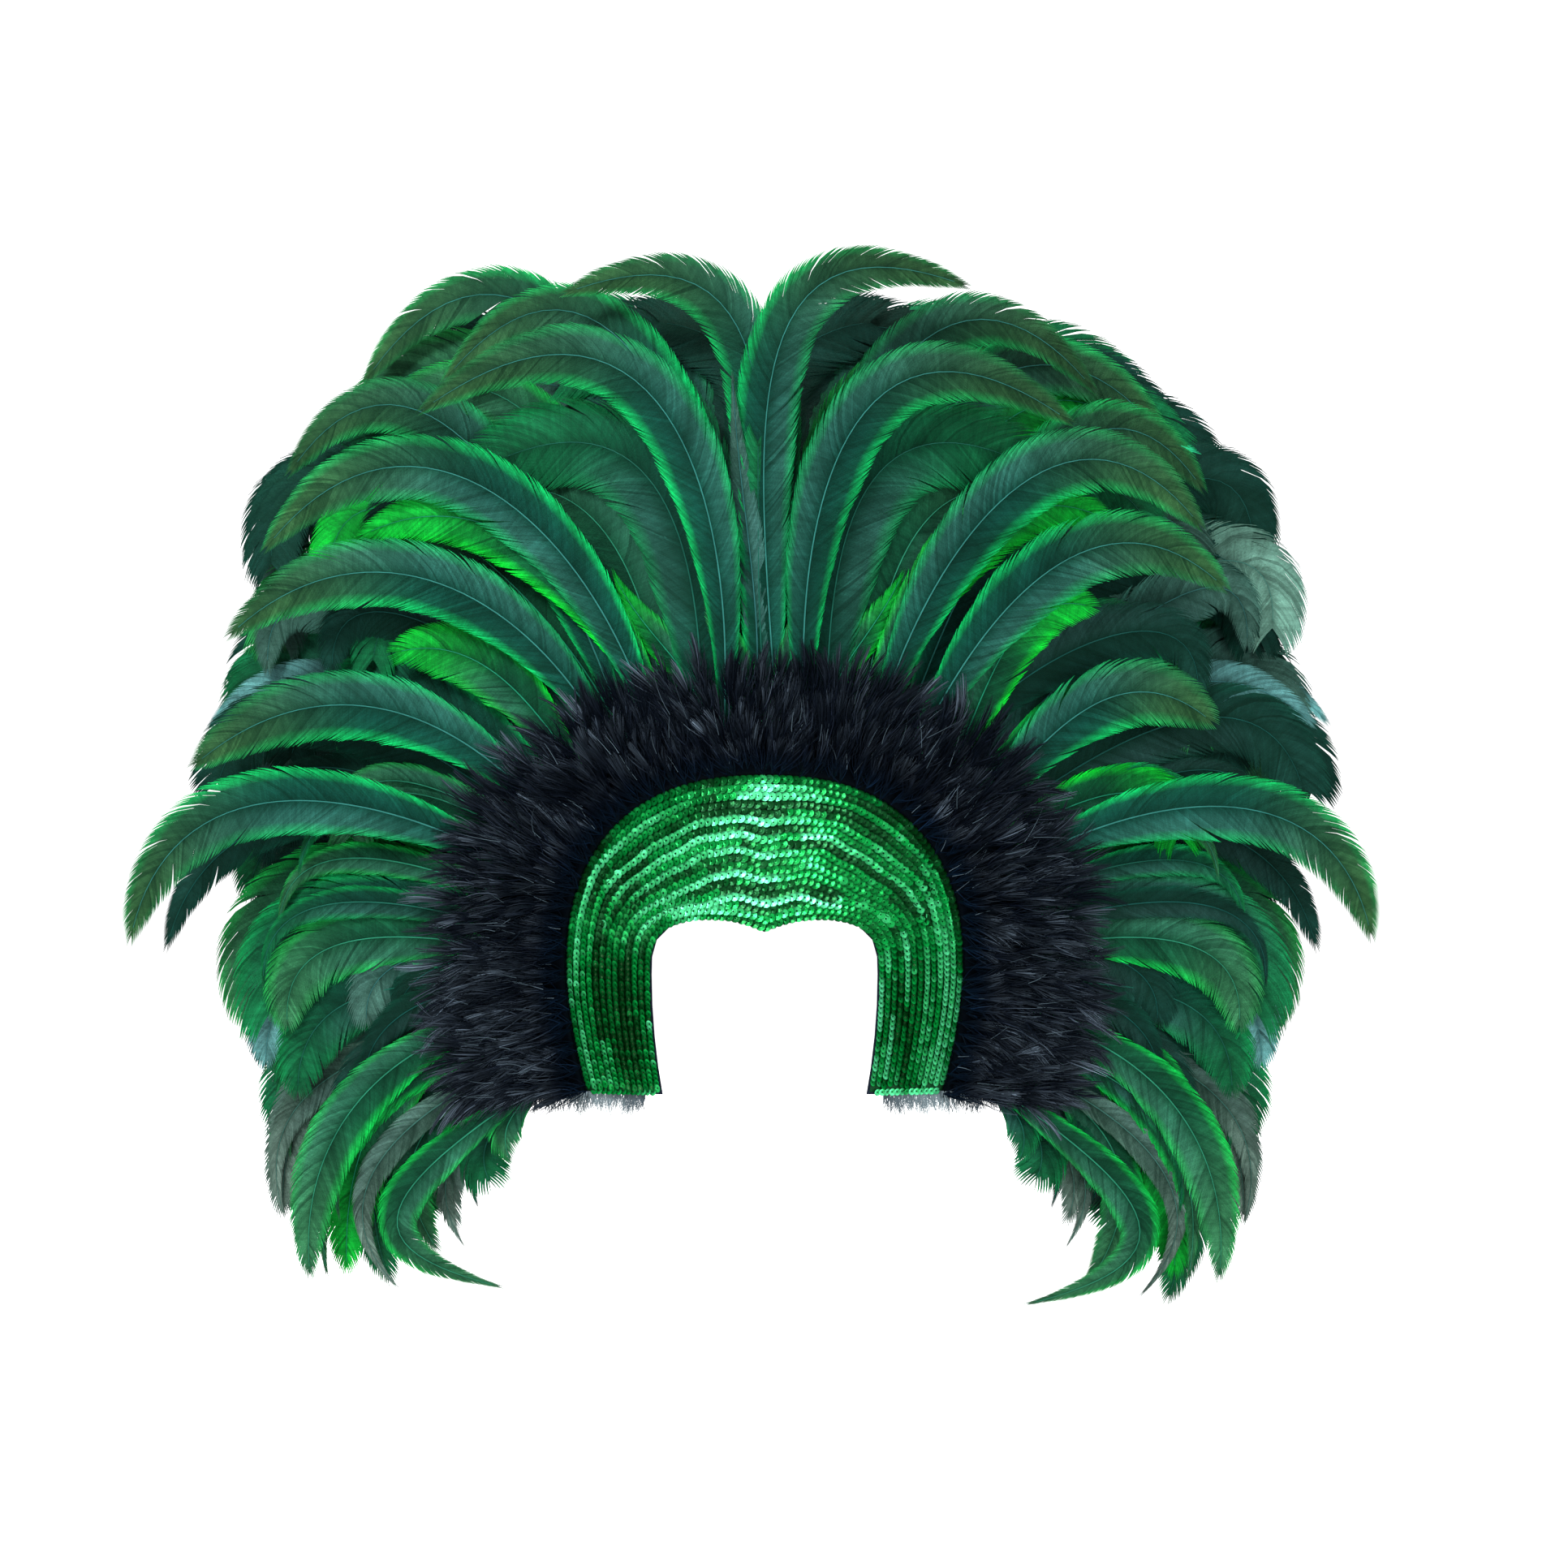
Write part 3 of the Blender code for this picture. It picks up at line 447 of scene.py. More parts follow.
def heading(degrees, side):
    """Unit direction (x, z) at an angle from straight up, outward on the given side."""
    angle = np.radians(degrees)
    return np.array([side * np.sin(angle), np.cos(angle)])


class Quill:
    """A plume's centre line in the front plane: a cubic curve read by its share of the arc length."""

    SAMPLES = 260

    def __init__(self, root, tip, leave, arrive, bow, side):
        """The curve's two handles run along the headings, each a bow's share of the chord long."""
        root, tip = np.array(root, float), np.array(tip, float)
        reach = bow * np.linalg.norm(tip - root)
        near, far = root + reach * heading(leave, side), tip - reach * heading(arrive, side)
        t = np.linspace(0.0, 1.0, self.SAMPLES)[:, None]
        rest = 1.0 - t
        self.line = rest**3 * root + 3 * rest**2 * t * near + 3 * rest * t**2 * far + t**3 * tip
        steps = step_lengths(self.line.T)
        self.length = steps.sum()
        self.share = running_sum(steps) / self.length
        along = np.gradient(self.line, axis=0)
        self.along = along / np.linalg.norm(along, axis=1, keepdims=True)

    def at(self, share):
        """Point, direction and leftward normal at shares of the length; past the tip it runs straight on."""
        inside = np.clip(share, 0.0, 1.0)
        point, along = (
            np.stack([np.interp(inside, self.share, values[:, i]) for i in range(2)], axis=-1)
            for values in (self.line, self.along)
        )
        along /= np.linalg.norm(along, axis=-1, keepdims=True)
        point = point + along * ((share - inside) * self.length)[..., None]
        return point, np.stack([-along[..., 1], along[..., 0]], axis=-1)


def plume_quill(row, side):
    """(layer, quill, width share, dye) of a row of the plume tables."""
    _, station, leave, arrive, share, bow, *ends, dye = row
    layer, across, up = ends[3:] if side > 0 else ends[:3]
    root = band_edge(side * station, False, root_distance(layer))
    tip = (side * across * HALF_SPAN, ARCH_CENTRE + up * CROWN_HEIGHT)
    return layer, Quill(root, tip, leave, arrive, bow, side), share, dye


def split_lean(rng, share, layer):
    """How far the barbs of one side lean forward at a few splits, as a share of their length.

    Past a split the lean falls off from the split's size with an exponential. Before it the barbs lean
    back by three tenths as much, which opens the gap.
    """
    lean = np.zeros(len(share))
    for split in rng.uniform(0.14, 0.95, rng.integers(3, 7)):
        size = rng.uniform(0.03, 0.15 + LOOSER * layer)
        after = (share - split) / (0.05 + 0.05 * size)
        away = np.abs(after)
        lean += np.where(after >= 0.0, size * np.exp(-away), -0.3 * size * np.exp(-away * 1.6))
    return lean


def vane_tint(rng, dye, place, t, slow):
    """Colours over a vane: the dye by the quill, moved toward its edge and its tip.

    One side is the weaker in colour and has a painted sheen, a grey-green highlight, over its middle. Barbs differ
    in brightness, with the slow waves along the vane, and painted shade darkens them toward the quill and the root.
    """
    vane, edge, tip, _, edge_strength = dye
    dull = rng.normal(1.0, 0.19, slow.shape) * (1.0 + 0.32 * slow)
    streak = np.clip(dull, 0.45, 1.6)[..., None]
    side_gain = np.array([1.0, WEAKER_SIDE])[:, None, None, None, None]
    if rng.uniform() < 0.5:
        side_gain = side_gain[::-1]
    weaker = side_gain < 1.0
    # Painted sheen: a grey-green highlight band over the middle of the weaker side
    painted_sheen_band = 4.0 * t * (1.0 - t) * smooth_step(0.10, 0.45, place) * (1.0 - smooth_step(0.70, 0.95, place))
    # The edge colour is partly painted light shining through the thin barbs
    to_edge = smooth_step(0.42, 1.0, t)[..., None] * edge_strength * side_gain
    to_tip = 0.85 * smooth_step(0.55, 0.98, place)[..., None]
    tint = vane * (0.72 + 0.28 * weaker) + (edge - vane) * to_edge
    tint = tint + PAINTED_SHEEN * weaker * painted_sheen_band[..., None] * (vane[1] / PAINTED_SHEEN_GREEN) ** 0.4
    tint = tint + (tip - tint) * to_tip * (1.0 - 0.5 * to_edge)
    # Painted shade: darker in the groove beside the quill and toward the root, where the plume lies covered
    near = 0.52 + 0.48 * smooth_step(0.0, 0.26, t)[..., None]
    depth = 0.55 + 0.45 * smooth_step(0.0, 0.22, place)[..., None]
    return tint * streak * near * depth * rng.uniform(0.82, 1.18)


def add_plume(bundle, rng, layer, quill, width, dye, sizes, breadth):
    """Adds a plume's barbs and quill.

    Each barb is a ribbon. It starts at a share of the quill and runs outward and forward: outward it
    covers w(1.5t - 0.5tt) and forward l t, so it bends toward the tip. The ribbons lie edge to edge, which
    closes the vane, and narrow over their last quarter into a fringe. At a few splits the next barbs lean
    forward and open a gap. The vane is cambered, highest along the quill.
    """
    dye = [np.array(part) for part in DYES[dye]]
    barbs = max(int(quill.length / (sizes.barb_pitch * (1.0 + COARSER * layer))), FEWEST_BARBS)
    share = BARE_QUILL + (1.0 - BARE_QUILL) * (np.arange(barbs) + 0.5) / barbs
    pitch = (1.0 - BARE_QUILL) / barbs
    half = 0.5 * width * np.interp(share, *np.array(breadth).T)

    both = (2, barbs)
    root = share + rng.normal(0.0, PLACE_SPREAD * pitch, both)
    wave = rng.uniform(0.0, 6.28, (2, 3))
    slow = sum(np.sin(share * turns + wave[:, i, None]) for i, turns in enumerate(VANE_WAVES)) / 3.0
    reach = half * (1.0 + rng.normal(0.0, REACH_SPREAD, both) + EDGE_WAVE * slow)
    forward = (1.15 * half + 0.006) * (1.0 + rng.normal(0.0, FORWARD_SPREAD, both))
    lean = np.stack([split_lean(rng, share, layer) for _ in range(2)])
    root, slow, reach, forward, lean = (part[:, :, None, None] for part in (root, slow, reach, forward, lean))

    sides = np.array([-1.0, 1.0])[:, None, None, None]
    t, ends = BARB_STEPS[:, None], np.array([-0.5, 0.5])
    taper = 1.30 - 1.02 * smooth_step(0.76, 1.0, t)
    ahead = forward * (t + lean * t**2)
    place = root + ahead / quill.length + pitch * taper * ends
    out = reach * (1.5 * t - 0.5 * t**2) * np.ones_like(place)
    point, normal = quill.at(place)
    flat = point + normal * (out * sides)[..., None]

    widest = max(half.max(), 1e-4)
    camber = sizes.camber * widest * (1.0 - (out / widest) ** 1.7) * smooth_step(0.0, 0.3, place)
    roll = rng.normal(0.0, ROLL_SPREAD) * out * sides
    lift = rng.normal(0.0, LIFT_SPREAD, both)[:, :, None, None] * t**2
    curl = EDGE_CURL * slow * t**2
    height = layer_height(layer, distance_outside(flat[..., 0], flat[..., 1])) + camber + roll + lift + curl
    grid = on_felt(flat[..., 0], flat[..., 1], height)
    tint = vane_tint(rng, dye, place, t, slow)
    along = place * quill.length * 1000.0 + rng.uniform(0.0, 500.0)
    barb = np.stack(np.broadcast_arrays(along, t * 3.0, 2.0 * ends), axis=-1)
    ribbons = (-1, len(BARB_STEPS), 2, 3)
    bundle.add(grid.reshape(ribbons), tint.reshape(ribbons), barb.reshape(ribbons))
    add_shaft(bundle, layer, quill, widest, dye[3], sizes)


def add_shaft(bundle, layer, quill, widest, colour, sizes):
    """A quill: circles of a radius that falls with the power 0.8 of the rest of the length."""
    share = np.linspace(0.0, 0.985, 40)
    turns = np.linspace(0.0, 2 * np.pi, 5, endpoint=False)
    point, normal = quill.at(share)
    radius = sizes.quill_width / 2 * (0.22 + 0.78 * (1.0 - share) ** 0.8)
    flat = point[:, None, :] + normal[:, None, :] * (radius[:, None] * np.cos(turns))[..., None]
    rise = sizes.camber * widest * smooth_step(0.0, 0.3, share)
    height = layer_height(layer, distance_outside(point[:, 0], point[:, 1])) + rise
    height = height[:, None] + radius[:, None] * (0.4 + 0.7 * np.sin(turns))
    grid = on_felt(flat[..., 0], flat[..., 1], height)
    bundle.add(grid[None, :, ::-1], colour, closed=True)


def sector_of(station):
    """The sector of the fan that a station lies in."""
    return next(name for name, low, high in SECTORS if low < station <= high)


def fan_rows(side, stations, layers, reaches, width, dyes, loose):
    """Plumes along the fan's line, the lists taken in turn: (sector, *what set_plumes takes)."""
    found = []
    places, *columns = FAN_GUIDES.T
    for i, station in enumerate(stations):
        leave, arrive, across, up = (np.interp(station, places, column) for column in columns)
        layer, reach = layers[i % len(layers)], reaches[i % len(reaches)] - RIGHT_SHORTER * (side > 0) * (i % 3)
        root = band_edge(side * station, False, root_distance(layer))
        tip = (side * across * reach * HALF_SPAN, ARCH_CENTRE + up * reach * CROWN_HEIGHT)
        sector = sector_of(station)
        breadth = BROAD_BREADTH if sector in BROAD_SECTORS else SLIM_BREADTH if width < 0.6 else SABRE_BREADTH
        dye = dyes[(i + 2 * (side > 0)) % len(dyes)]
        found.append((sector, layer, Quill(root, tip, leave, arrive, FAN_BOW, side), width, dye, breadth, loose))
    return found


def set_plumes(name, material, node, seed, plumes, sizes):
    """One piece in a node's place, from (layer, quill, width share, dye, breadth, loose) in order.

    A loose plume lies somewhere in the gap behind its layer.
    """
    rng = np.random.default_rng(seed)
    bundle = Bundle()
    for layer, quill, share, dye, breadth, loose in plumes:
        if loose:
            layer += rng.uniform(0.25, 0.75)
        add_plume(bundle, rng, layer, quill, share * sizes.plume_width, dye, sizes, breadth)
    bundle.piece(name, material, (node,))


def set_sectors(tape, side, word, seed, plumes, material, sizes):
    """The four pieces of one side of a tape, each from the plumes of its sector."""
    for number, (sector, _, _) in enumerate(SECTORS):
        node = f"{tape}_plumes_{sector}_{word}"
        chosen = [plume for where, *plume in plumes if where == sector]
        set_plumes(node + "_vanes", material, node, seed + 2 * number + (side > 0), chosen, sizes)


# Materials


class Value:
    """A socket in an expression: arithmetic on it adds Math nodes."""

    def __init__(self, shader, socket):
        self.shader, self.socket = shader, socket

    def math(self, operation, other):
        """A Math node on this value and another value or number."""
        return self.shader.value("ShaderNodeMath", {"operation": operation}, 0, self, other)

    def __add__(self, other):
        return self.math("ADD", other)

    __radd__ = __add__

    def __mul__(self, other):
        return self.math("MULTIPLY", other)

    __rmul__ = __mul__


class Shader:
    """A Principled material built from expressions. Sockets are named with _ for a space."""

    def __init__(self, name, **constants):
        self.material = bpy.data.materials.new(name)
        self.material.use_nodes = True
        self.tree = self.material.node_tree
        self.principled = self.tree.nodes["Principled BSDF"]
        self.finish(**constants)

    def node(self, kind, settings, *values, **named):
        """Adds a node: its settings first, then values or links for its sockets by place or name."""
        node = self.tree.nodes.new(kind)
        for setting, value in settings.items():
            setattr(node, setting, value)
        for key, value in (*enumerate(values), *named.items()):
            self.feed(node, key, value)
        return node

    def feed(self, node, key, value):
        """Links a value to a node's socket, or sets a constant on the socket itself."""
        socket = node.inputs[key.replace("_", " ") if isinstance(key, str) else key]
        if isinstance(value, Value):
            self.tree.links.new(value.socket, socket)
        else:
            socket.default_value = value

    def value(self, kind, settings, output, *values, **named):
        """Adds a node and reads one of its outputs."""
        return Value(self, self.node(kind, settings, *values, **named).outputs[output])

    def attribute(self, name, output):
        """A mesh's own attribute."""
        return self.value("ShaderNodeAttribute", {"attribute_name": name}, output)

    def place(self):
        """Object coordinates, in metres from the brow."""
        return self.value("ShaderNodeTexCoord", {}, "Object")

    def noise(self, place, scale, detail=3.0, roughness=0.55):
        """Soft noise from 0 to 1, with scale features to the unit of place."""
        sockets = {"Vector": place, "Scale": scale, "Detail": detail, "Roughness": roughness}
        return self.value("ShaderNodeTexNoise", {}, "Fac", **sockets)

    def tinted(self, colour, factor):
        """A colour made lighter or darker by a factor, with Vector Math."""
        return self.value("ShaderNodeVectorMath", {"operation": "SCALE"}, 0, Vector=colour, Scale=factor)

    def bump(self, height, distance):
        """The normal over bumps of a height from 0 to 1 times a distance."""
        return self.value("ShaderNodeBump", {}, "Normal", Height=height, Distance=distance, Strength=1.0)

    def finish(self, **inputs):
        """Feeds the Principled node and gives the material."""
        for key, value in inputs.items():
            self.feed(self.principled, key, value)
        return self.material


def plume_material(name):
    """Dyed barbs: the tint of each point, fine streaks along the barbs and a silky, uneven gloss."""
    shader = Shader(name, Specular_IOR_Level=0.20, Specular_Tint=(0.10, 0.62, 0.36, 1.0))
    place, barb = shader.place(), shader.attribute("barb", "Vector")
    patches = shader.noise(place, 55.0)
    streaks = shader.noise(barb, 1.1, 3.0, 0.65)
    glints = shader.noise(barb, 0.35, 2.0)
    uneven = (streaks * 1.5 + 0.25) * (glints * 1.1 + 0.45)
    return shader.finish(
        Base_Color=shader.tinted(shader.attribute("tint", "Color"), uneven * (patches + 0.50)),
        Roughness=glints * 0.30 + 0.26,
        Normal=shader.bump(streaks + patches * 0.4, 0.0005),
    )


def fur_material(name):
    """Fluffy near-black down with a cool gloss, and painted sheen on some strands carried in the tint."""
    shader = Shader(name, Specular_IOR_Level=0.06, Specular_Tint=(0.12, 0.24, 0.34, 1.0))
    patches = shader.noise(shader.place(), 45.0)
    colour = shader.tinted(shader.attribute("tint", "Color"), patches * 1.2 + 0.40)
    return shader.finish(Base_Color=colour, Roughness=patches * 0.2 + 0.34)


def sequin_material(name):
    """Coloured foil: the tint of each sequin, bright and nearly mirror-smooth."""
    shader = Shader(name, Specular_Tint=(0.30, 1.0, 0.55, 1.0))
    scuffs = shader.noise(shader.place(), 900.0, 2.0)
    colour = shader.tinted(shader.attribute("tint", "Color"), scuffs * 0.3 + 0.85)
    return shader.finish(Base_Color=colour, Metallic=0.55, Roughness=scuffs * 0.16 + 0.22)


def felt_material(name, colour):
    """Pressed wool: flecks of lighter fibre and a fuzzy surface."""
    shader = Shader(name, Sheen_Weight=0.04, Sheen_Roughness=0.6, Specular_IOR_Level=0.08)
    place = shader.place()
    fibres = shader.noise(place, 700.0, 5.0, 0.7)
    cloud = shader.noise(place, 35.0)
    return shader.finish(
        Base_Color=shader.tinted(colour, fibres * 1.1 + cloud * 0.5 + 0.25),
        Roughness=fibres * 0.1 + 0.86,
        Normal=shader.bump(fibres + cloud * 0.6, 0.0007),
    )


# Settings


def length(name, description, default, low, high):
    """A setting in metres."""
    return bpy.props.FloatProperty(
        name=name, description=description, default=default, min=low, max=high, unit="LENGTH", subtype="DISTANCE"
    )


def colour(name, description, default):
    """A setting for a linear colour."""
    return bpy.props.FloatVectorProperty(
        name=name, description=description, default=default, size=3, min=0.0, max=1.0, subtype="COLOR"
    )


class HeaddressSizes(bpy.types.PropertyGroup):
    """Sizes of the feathers, sequins and fur"""

    plume_width: length("Plume width", "Width of a sabre plume at its widest", 0.041, 0.01, 0.08)
    barb_pitch: length("Barb pitch", "Distance between barbs along the quill", 0.0021, 0.001, 0.01)
    quill_width: length("Quill width", "Thickness of a quill at its root", 0.0012, 0.0005, 0.004)
    camber: bpy.props.FloatProperty(
        name="Camber", description="Rise of a vane over its half width", default=0.10, min=0.0, max=0.4
    )
    sequin: length("Sequin", "Diameter of a sequin", 0.0060, 0.003, 0.01)
    sequin_pitch: length("Sequin pitch", "Distance between sequins on the crown's strings", 0.0040, 0.002, 0.01)
    leg_pitch: length("Leg pitch", "Distance between sequins on the legs' strings", 0.0030, 0.002, 0.01)
    fur: length("Fur", "Length of the fur collar", 0.083, 0.03, 0.15)
    strand: length("Strand", "Width of a strand of fur", 0.0005, 0.0002, 0.002)


class HeaddressColours(bpy.types.PropertyGroup):
    """Colours of the felt, tape, fur, sequins and studio"""

    felt: colour("Felt", "Navy felt", (0.006, 0.010, 0.024))
    thread: colour("Thread", "Stitches on the felt's back", (0.050, 0.075, 0.120))
    tape: colour("Tape", "Black tape", (0.010, 0.012, 0.014))
    fur: colour("Fur", "Body of the fur", (0.0009, 0.0014, 0.0032))
    # Painted sheen at the ends of the strands
    fur_tip_sheen: colour("Fur tips", "Ends of the strands", (0.0360, 0.0490, 0.0640))
    fur_root: colour("Fur roots", "Strands beside the panel", (0.0006, 0.0024, 0.0062))
    mint: colour("Mint", "Sequins that catch the light", (0.090, 0.720, 0.300))
    green: colour("Green", "Most sequins", (0.001, 0.270, 0.042))
    deep: colour("Deep green", "Sequins turned from the light", (0.001, 0.040, 0.006))
    floor: colour("Floor", "Studio floor and backdrop", (0.93, 0.93, 0.93))


# Operators


class HEADDRESS_OT_felt(bpy.types.Operator):
    """Finish the felt base and the tapes"""

    bl_idname = "headdress.felt"
    bl_label = "Felt and tapes"

    # Seams on the back: whether each follows the opening's edge or the panel's outer one, and how far
    # away from the band it lies
    SEAMS = ((True, -0.004), (False, -0.003), (False, 0.014), (False, 0.030), (False, 0.046))
    STITCH_PITCH = 0.0065
    # Shares of the pitch: where a stitch comes up, and how long it is
    STITCH_START = 0.16
    STITCH_SHARE = 0.68
    STITCH_DIP = 0.0007
    THREAD_RADIUS = 0.00042

    def execute(self, context):
        colours = context.scene.headdress_colours
        felt = felt_material("wool_felt", colours.felt)
        tape = felt_material("plume_tape", colours.tape)
        for node, material in (("felt_base", felt), ("front_strip_left", tape), ("front_strip_right", tape)):
            data = CAD_NODES[node].data
            data.materials.clear()
            data.materials.append(material)
        bundle = Bundle()
        for inner, offset in self.SEAMS:
            self.add_seam(bundle, inner, offset, colours)
        bundle.piece("back_stitches", felt_material("sewing_thread", colours.thread))
        return {"FINISHED"}

    def add_seam(self, bundle, inner, offset, colours):
        """Running stitches on the felt's back, at an offset from an edge.

        Each stitch is a tube of five points round, which dips into the felt at both ends with a cosine.
        """
        station = np.linspace(1.5 - LAST_STATION, LAST_STATION - 1.5, 2000)
        line = band_edge(station, inner, offset)
        arc = running_sum(step_lengths(line))
        count = int(arc[-1] / self.STITCH_PITCH)
        t = np.linspace(0.0, self.STITCH_SHARE, 5)
        place = (np.arange(count)[:, None] + self.STITCH_START + t) * arc[-1] / count
        x, z = (np.interp(place, arc, part) for part in line)
        dx, dz = np.gradient(x, axis=1), np.gradient(z, axis=1)
        size = np.hypot(dx, dz)
        turns = np.linspace(0.0, 2 * np.pi, 5, endpoint=False)
        x = x[..., None] + (dz / size)[..., None] * self.THREAD_RADIUS * np.cos(turns)
        z = z[..., None] - (dx / size)[..., None] * self.THREAD_RADIUS * np.cos(turns)
        dip = self.STITCH_DIP * (np.cos(2 * np.pi * (t / self.STITCH_SHARE - 0.5)) - 1.0) / 2
        height = -FELT_THICKNESS - 0.0002 - dip[None, :, None] + self.THREAD_RADIUS * np.sin(turns)
        bundle.add(on_felt(x, z, height), np.array(colours.thread), closed=True)


class HEADDRESS_OT_sequins(bpy.types.Operator):
    """Sew the strings of sequins over the panel"""

    bl_idname = "headdress.sequins"
    bl_label = "Sequins"

    MAIN_ROWS = 13
    # Strings that lie between two main ones over the crown: the row before, and the last station
    EXTRA_ROWS = {0: 58.0, 2: 66.0, 4: 74.0, 6: 66.0, 8: 50.0, 10: 36.0}
    # The string across the foot of each leg
    END_ROW = 20
    # What the outermost string leaves free at its edge, and it and the innermost one together
    EDGE_MARGIN = 0.0019
    BOTH_MARGINS = 0.0027
    # How far strings wander over the brow, as a share of the band, and where that fades
    WANDER = 0.014
    WANDER_FADES = (15.0, 72.0)
    # Degrees: tilt and askew turn, more on the legs, and sway, with the spread of each
    TILT, LEG_TILT, SWAY, LEG_ASKEW = 13.0, 19.0, 9.0, 34.0
    TILT_SPREAD, ASKEW_SPREAD = 3.5, 5.0
    # Heights over the felt: the backing's two faces, the strings, how much higher the odd ones are and how
    # much lower the end ones
    BACKING_HEIGHTS = (0.0022, 0.0006)
    HEIGHT, ODD_RISE, END_DROP, HEIGHT_SPREAD = 0.0031, 0.0004, 0.0008, 0.00012
    # Rings of a disc from its rim to its hole: share of the radius, and rise
    RINGS = ((1.00, 0.00042), (0.82, 0.00034), (0.30, 0.00004), (0.17, 0.0))
    RING_POINTS = 10
    # Painted shadow at the rim and painted shade in the hole, for discs painted as facing the light and for the
    # others
    RIMS, HOLES = (0.50, 0.27), (0.10, 0.90)
    # Painted light that brightens the legs' sequins
    LEG_LIGHT = 0.60
    THREAD = (0.14, 0.36, 0.14)
    # Strings painted mint over the upper left, as catching the light, and soft patches of painted light and shade:
    # (strength, across, up, widths)
    LIGHT_CATCHING_ROWS = (1, 3, 4.5, 6, 8, 10, 11)
    PAINTED_LIGHT_PATCHES = (
        (1.1, -0.001, 0.086, 0.011, 0.008),
        (0.9, -0.044, 0.010, 0.016, 0.007),
        (-1.5, -0.024, 0.077, 0.019, 0.007),
        (-1.4, -0.083, -0.040, 0.010, 0.055),
        (-0.5, 0.045, 0.070, 0.030, 0.012),
        (-1.1, 0.084, -0.065, 0.006, 0.045),
    )

    def execute(self, context):
        sizes, colours = context.scene.headdress_sizes, context.scene.headdress_colours
        rng = np.random.default_rng(41)
        bundle = Bundle()
        self.add_backing(bundle, colours)
        strings = [(self.END_ROW, side) for side in (-1.0, 1.0)]
        for row in range(self.MAIN_ROWS):
            strings.append((row, LAST_STATION - 0.8))
            if row in self.EXTRA_ROWS:
                strings.append((row + 0.5, self.EXTRA_ROWS[row]))
        for row, last in strings:
            self.sew(bundle, rng, sizes, colours, row, *self.line(row, last))
        material = sequin_material("green_foil")
        bundle.piece("sequin_strings", material, ("sequin_panel",), smooth=False)
        return {"FINISHED"}

    def share_of(self, row, station):
        """Share of the band at a string: the strings before it over all of them.

        An extra string opens in by degrees, so the others move apart for it.
        """
        place, total = np.full(len(station), float(row)), np.full(len(station), self.MAIN_ROWS - 1.0)
        for before, last in self.EXTRA_ROWS.items():
            opened = 1.0 - smooth_step(last - 14.0, last + 2.0, np.abs(station))
            place += opened if row > before + 0.5 else opened / 2 if row > before else 0.0
            total += opened
        return place / total

    def add_backing(self, bundle, colours):
        """Sheet under the strings: points between the two edges, front and back, closed round its rim."""
        station = np.linspace(-LAST_STATION, LAST_STATION, 97)
        inner, outer = band_edge(station, True), band_edge(station, False)
        share = np.concatenate([np.linspace(0.0, 1.0, 9), np.linspace(1.0, 0.0, 9)])
        flat = inner[:, :, None] + (outer - inner)[:, :, None] * share
        grid = on_felt(flat[0], flat[1], np.repeat(self.BACKING_HEIGHTS, 9))[:, ::-1]
        bundle.add(grid[None], np.array(colours.deep) * 0.5, closed=True)

    def line(self, row, last):
        """Stations and points of a string: its share of the way from the outer edge to the opening.

        Over the brow the strings wander by two sines. The end row runs across the foot of the leg on the
        side given as last.
        """
        if row == self.END_ROW:
            station = np.full(300, last * (LAST_STATION + 0.1))
            share = np.linspace(0.0, 1.0, 300)
        else:
            station = np.linspace(-last, last, 900)
            share = self.share_of(row, station)
            wander = np.sin(0.16 * station + 1.0) + 0.6 * np.sin(0.37 * station + 5.0 * share)
            fade = 1.0 - smooth_step(*self.WANDER_FADES, np.abs(station))
            share = share + self.WANDER * wander * np.sin(np.pi * share) * fade
        inner, outer = band_edge(station, True), band_edge(station, False)
        span = np.linalg.norm(outer - inner, axis=0)
        return station, outer + (inner - outer) * (self.EDGE_MARGIN + share * (span - self.BOTH_MARGINS)) / span

    def disc_axes(self, rng, x, z, height, middle, leg):
        """Two axes in each disc's plane, and the way it faces.

        The first follows the string and is tilted out of the felt, so the discs lie like shingles. The
        second runs across the string and sways. On the legs the discs stand steeper and askew, so that a
        string looks like a twisted rope.
        """
        step = 0.0008
        right = on_felt(x + step, z, height) - middle
        up = on_felt(x, z + step, height) - middle
        along = np.gradient(middle, axis=0)
        along /= np.linalg.norm(along, axis=1, keepdims=True)
        out = np.cross(right, up)
        out *= -np.sign(out[:, 1:2]) / np.linalg.norm(out, axis=1, keepdims=True)
        side = np.cross(along, out)
        tilt, sway, askew = (
            np.radians(degrees + rng.normal(0.0, spread, len(x)))[:, None]
            for degrees, spread in (
                (self.TILT + self.LEG_TILT * leg, self.TILT_SPREAD),
                (self.SWAY, self.TILT_SPREAD),
                (self.LEG_ASKEW * leg, self.ASKEW_SPREAD),
            )
        )
        ahead = along * np.cos(askew) + side * np.sin(askew)
        beside = side * np.cos(askew) - along * np.sin(askew)
        first = ahead * np.cos(tilt) + out * np.sin(tilt)
        lifted = out * np.cos(tilt) - ahead * np.sin(tilt)
        second = beside * np.cos(sway) + lifted * np.sin(sway)
        face = np.cross(first, second)
        return first, second, face * np.sign(np.sum(face * out, axis=1, keepdims=True))

